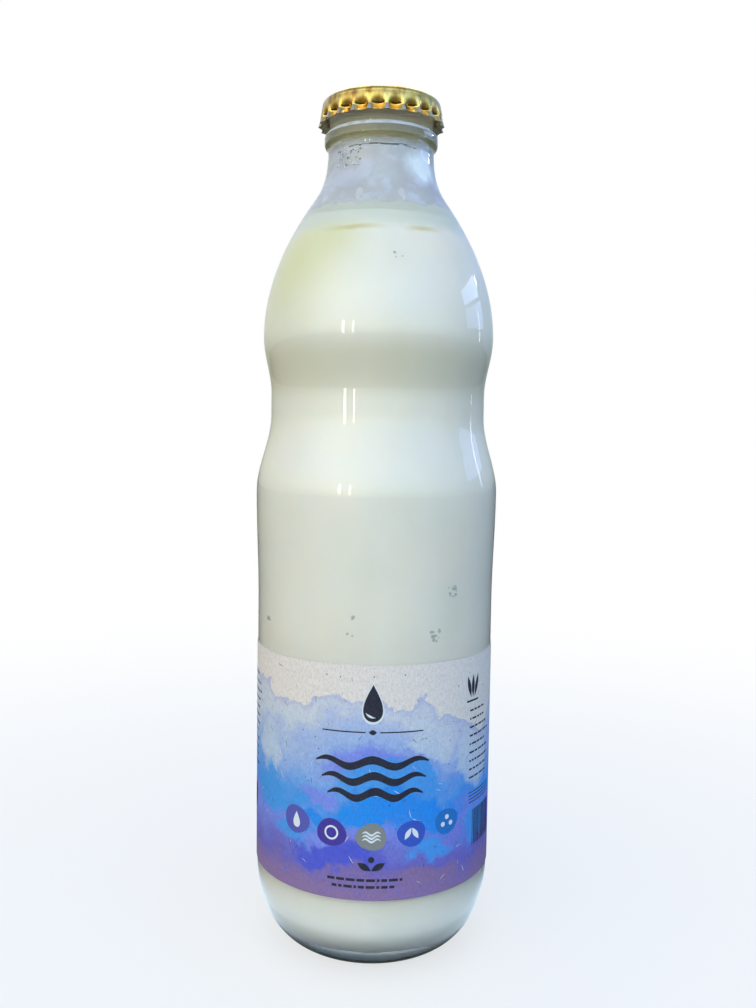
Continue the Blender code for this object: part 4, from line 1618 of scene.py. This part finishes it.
    def fibres(self, looks):
        """Fibres and specks all round the sheet, under the print's surface and clear of the sheet's edges."""
        tall = LABEL_HIGH.z - LABEL_LOW.z - 0.006
        middle = (LABEL_LOW.z + LABEL_HIGH.z) / 2
        hair = crescent_outline(0.0, -0.0030, 0.0031, 0.00016, 68, 112, 8)
        speck = blob_outline(0.0, 0.0, 0.00022, 0.8, 0.15, 3, steps=8)
        kinds = (
            ("dark_fibres", hair, looks.fleck, 6500.0, 0.4, 1.2, 31),
            ("pale_fibres", hair, looks.fleck_pale, 6000.0, 0.5, 1.4, 32),
            ("specks", speck, looks.fleck, 12000.0, 0.4, 1.3, 33),
        )
        for name, outline, tone, density, smallest, largest, seed in kinds:
            material = ink_material("Paper " + name.replace("_", " "), tone)
            mesh = bpy.data.meshes.new("fibre_sheet")
            sheet = box_outline(0, middle, LABEL_ROUND - 0.006, tall)
            corners = [(x, y, self.thickness * 0.3) for x, y in sheet]
            mesh.from_pydata(corners, [], [(0, 1, 2, 3)])
            strip = bpy.data.meshes.new("fibre")
            flat = slab([outline], 0.0, self.thickness * 0.3, 0.0004)
            flat.to_mesh(strip)
            flat.free()
            spread = scattered(
                new_object("fibre_sheet", mesh), "fibres_flat", new_object("fibre", strip), material, density,
                smallest, largest, seed,
            )
            wrap = tree_named("Wrap round the bottle", wrapping_tree)
            piece = grown(spread, f"paper_{name}", wrap, {"Radius": self.radius, "Finish": material})
            add_to_bottle(piece)


# Daylight, as radiance from each part of the sky
SKY_FRONT = (2.16, 2.19, 2.03)
SKY_BACK = (0.62, 0.66, 0.72)
SKY_LOW_TINT = (1.02, 0.98, 0.66)
SKY_HIGH_TINT = (0.99, 1.0, 1.10)
SKY_LEFT_TINT = (1.22, 1.22, 1.14)
SKY_RIGHT_TINT = (0.59, 0.83, 1.18)
SKY_OVERHEAD = (0.46, 0.56, 0.72)
SKY_UNDER = (0.16, 0.16, 0.13)

# Lamps: name, point lit, degrees to the right of the front, degrees up, distance, size, radiance and colour
WINDOW_BLUE = (0.44, 0.57, 0.96)
STRIP_WARM = (1.0, 0.99, 0.86)
LAMPS = (
    ("window_upper", (0.024, -0.020, 0.21), 111.5, 22.0, 1.3, (0.66, 0.150), 4.1, WINDOW_BLUE),
    ("window_lower", (0.024, -0.020, 0.21), 112.0, 12.6, 1.3, (0.70, 0.205), 2.0, WINDOW_BLUE),
    ("window_edge", (0.030, -0.021, 0.17), 118.0, 9.0, 1.3, (0.014, 0.30), 13.0, (0.85, 0.97, 1.0)),
    ("window_glint", (0.031, -0.020, 0.22), 130.0, 21.5, 1.3, (0.030, 0.060), 30.0, (0.85, 0.97, 1.0)),
    ("ceiling", (0.0, 0.0, 0.27), 180.0, 65.0, 1.0, (0.90, 1.15), 2.0, (0.90, 0.92, 1.0)),
    ("strip_a", (-0.010, -0.037, 0.19), -34.2, 5.6, 1.2, (0.056, 0.250), 11.0, STRIP_WARM),
    ("strip_b", (-0.010, -0.037, 0.19), -24.2, 5.6, 1.2, (0.040, 0.250), 10.0, STRIP_WARM),
)


class BOTTLE_OT_stage(bpy.types.Operator):
    """Set the floor, the lamps and the camera"""

    bl_idname = "bottle.stage"
    bl_label = "Studio Stage"

    def execute(self, context):
        stage = context.scene.bottle_stage
        self.floor(stage)
        self.world(context.scene, stage)
        self.lamps()
        self.camera(context.scene, stage)
        context.scene.view_settings.view_transform = "Standard"
        return {"FINISHED"}

    def floor(self, stage):
        mesh = bpy.data.meshes.new("floor")
        disc = bmesh.new()
        bmesh.ops.create_circle(disc, cap_ends=True, segments=96, radius=12.0)
        disc.to_mesh(mesh)
        disc.free()
        mesh.materials.append(floor_material(stage))
        new_object("floor", mesh)

    def world(self, scene, stage):
        """Soft daylight: bright in front, dim overhead and behind, warm on the left and cool on the right."""
        world = bpy.data.worlds.new("Studio")
        world.use_nodes = True
        scene.world = world
        tree = world.node_tree
        right, back, up = parts_of(tree, tree.nodes.new("ShaderNodeTexCoord").outputs["Generated"])
        rising = ramp(tree, up, -0.10, 0.19)
        overhead = ramp(tree, up, 0.42, 0.85)
        front = ramp(tree, back, 0.35, -0.75)
        side = ramp(tree, right, -0.7, 0.8)
        tone = mix_colours(tree, front, SKY_BACK, SKY_FRONT)
        tint = mix_colours(tree, side, SKY_LEFT_TINT, SKY_RIGHT_TINT)
        tone = mix_colours(tree, 1.0, tone, tint, "MULTIPLY")
        lift = mix_colours(tree, ramp(tree, up, 0.0, 0.45), SKY_LOW_TINT, SKY_HIGH_TINT)
        tone = mix_colours(tree, 1.0, tone, lift, "MULTIPLY")
        tone = mix_colours(tree, overhead, tone, SKY_OVERHEAD)
        light = mix_colours(tree, rising, SKY_UNDER, tone)
        shown = mix_colours(tree, ray_is(tree, "Camera"), light, stage.backdrop)
        feed(tree, tree.nodes["Background"], {"Color": shown})

    def lamps(self):
        for lamp in LAMPS:
            self.lamp(*lamp)

    def lamp(self, name, target, round_deg, up_deg, distance, size, radiance, colour):
        """A flat lamp that faces a point, placed by its angles to the right of the front and upwards."""
        data = bpy.data.lights.new(name, "AREA")
        data.shape = "RECTANGLE"
        data.size, data.size_y = size
        data.energy = radiance * math.pi * size[0] * size[1]
        data.color = colour
        lamp = new_object(name, data)
        turn, lift = math.radians(round_deg), math.radians(up_deg)
        way = Vector((math.sin(turn) * math.cos(lift), -math.cos(turn) * math.cos(lift), math.sin(lift)))
        lamp.location = Vector(target) + way * distance
        lamp.rotation_euler = way.to_track_quat("Z", "Y").to_euler()
        lamp.visible_camera = False
        lamp.visible_diffuse = name.startswith("strip")

    def camera(self, scene, stage):
        data = bpy.data.cameras.new("camera")
        data.lens = stage.lens
        data.clip_start = 0.01
        data.clip_end = 50.0
        camera = new_object("camera", data)
        turn = Matrix.Rotation(math.pi / 2 - stage.tilt, 4, "X") @ Matrix.Rotation(stage.roll, 4, "Z")
        camera.matrix_world = Matrix.Translation((stage.aside, -stage.distance, stage.height)) @ turn
        scene.camera = camera


class BOTTLE_PT_panel(bpy.types.Panel):
    """The steps that make the bottle"""

    bl_idname = "BOTTLE_PT_panel"
    bl_label = "Yogurt Bottle"
    bl_space_type = "VIEW_3D"
    bl_region_type = "UI"
    bl_category = "Yogurt Bottle"

    def draw(self, context):
        for step in STEPS:
            self.layout.operator(step.bl_idname)
        for name in SETTINGS:
            box = self.layout.box()
            group = getattr(context.scene, name)
            for key in group.bl_rna.properties.keys():
                if key not in ("rna_type", "name"):
                    box.prop(group, key)


SETTINGS = {
    "bottle_glass": GlassLooks,
    "bottle_yogurt": YogurtLooks,
    "bottle_cap": CapLooks,
    "bottle_label": LabelLooks,
    "bottle_stage": StageSettings,
}
STEPS = (BOTTLE_OT_glass, BOTTLE_OT_yogurt, BOTTLE_OT_cap, BOTTLE_OT_label, BOTTLE_OT_print, BOTTLE_OT_stage)


def register():
    for group in (*SETTINGS.values(), *STEPS, BOTTLE_PT_panel):
        bpy.utils.register_class(group)
    for name, group in SETTINGS.items():
        setattr(bpy.types.Scene, name, PointerProperty(type=group))


def unregister():
    for name in SETTINGS:
        delattr(bpy.types.Scene, name)
    for group in (BOTTLE_PT_panel, *reversed(STEPS), *reversed(SETTINGS.values())):
        bpy.utils.unregister_class(group)


def main():
    register()
    bpy.ops.bottle.glass()
    bpy.ops.bottle.yogurt()
    bpy.ops.bottle.cap()
    bpy.ops.bottle.label()
    bpy.ops.bottle.print()
    bpy.ops.bottle.stage()


if __name__ == "__main__":
    main()
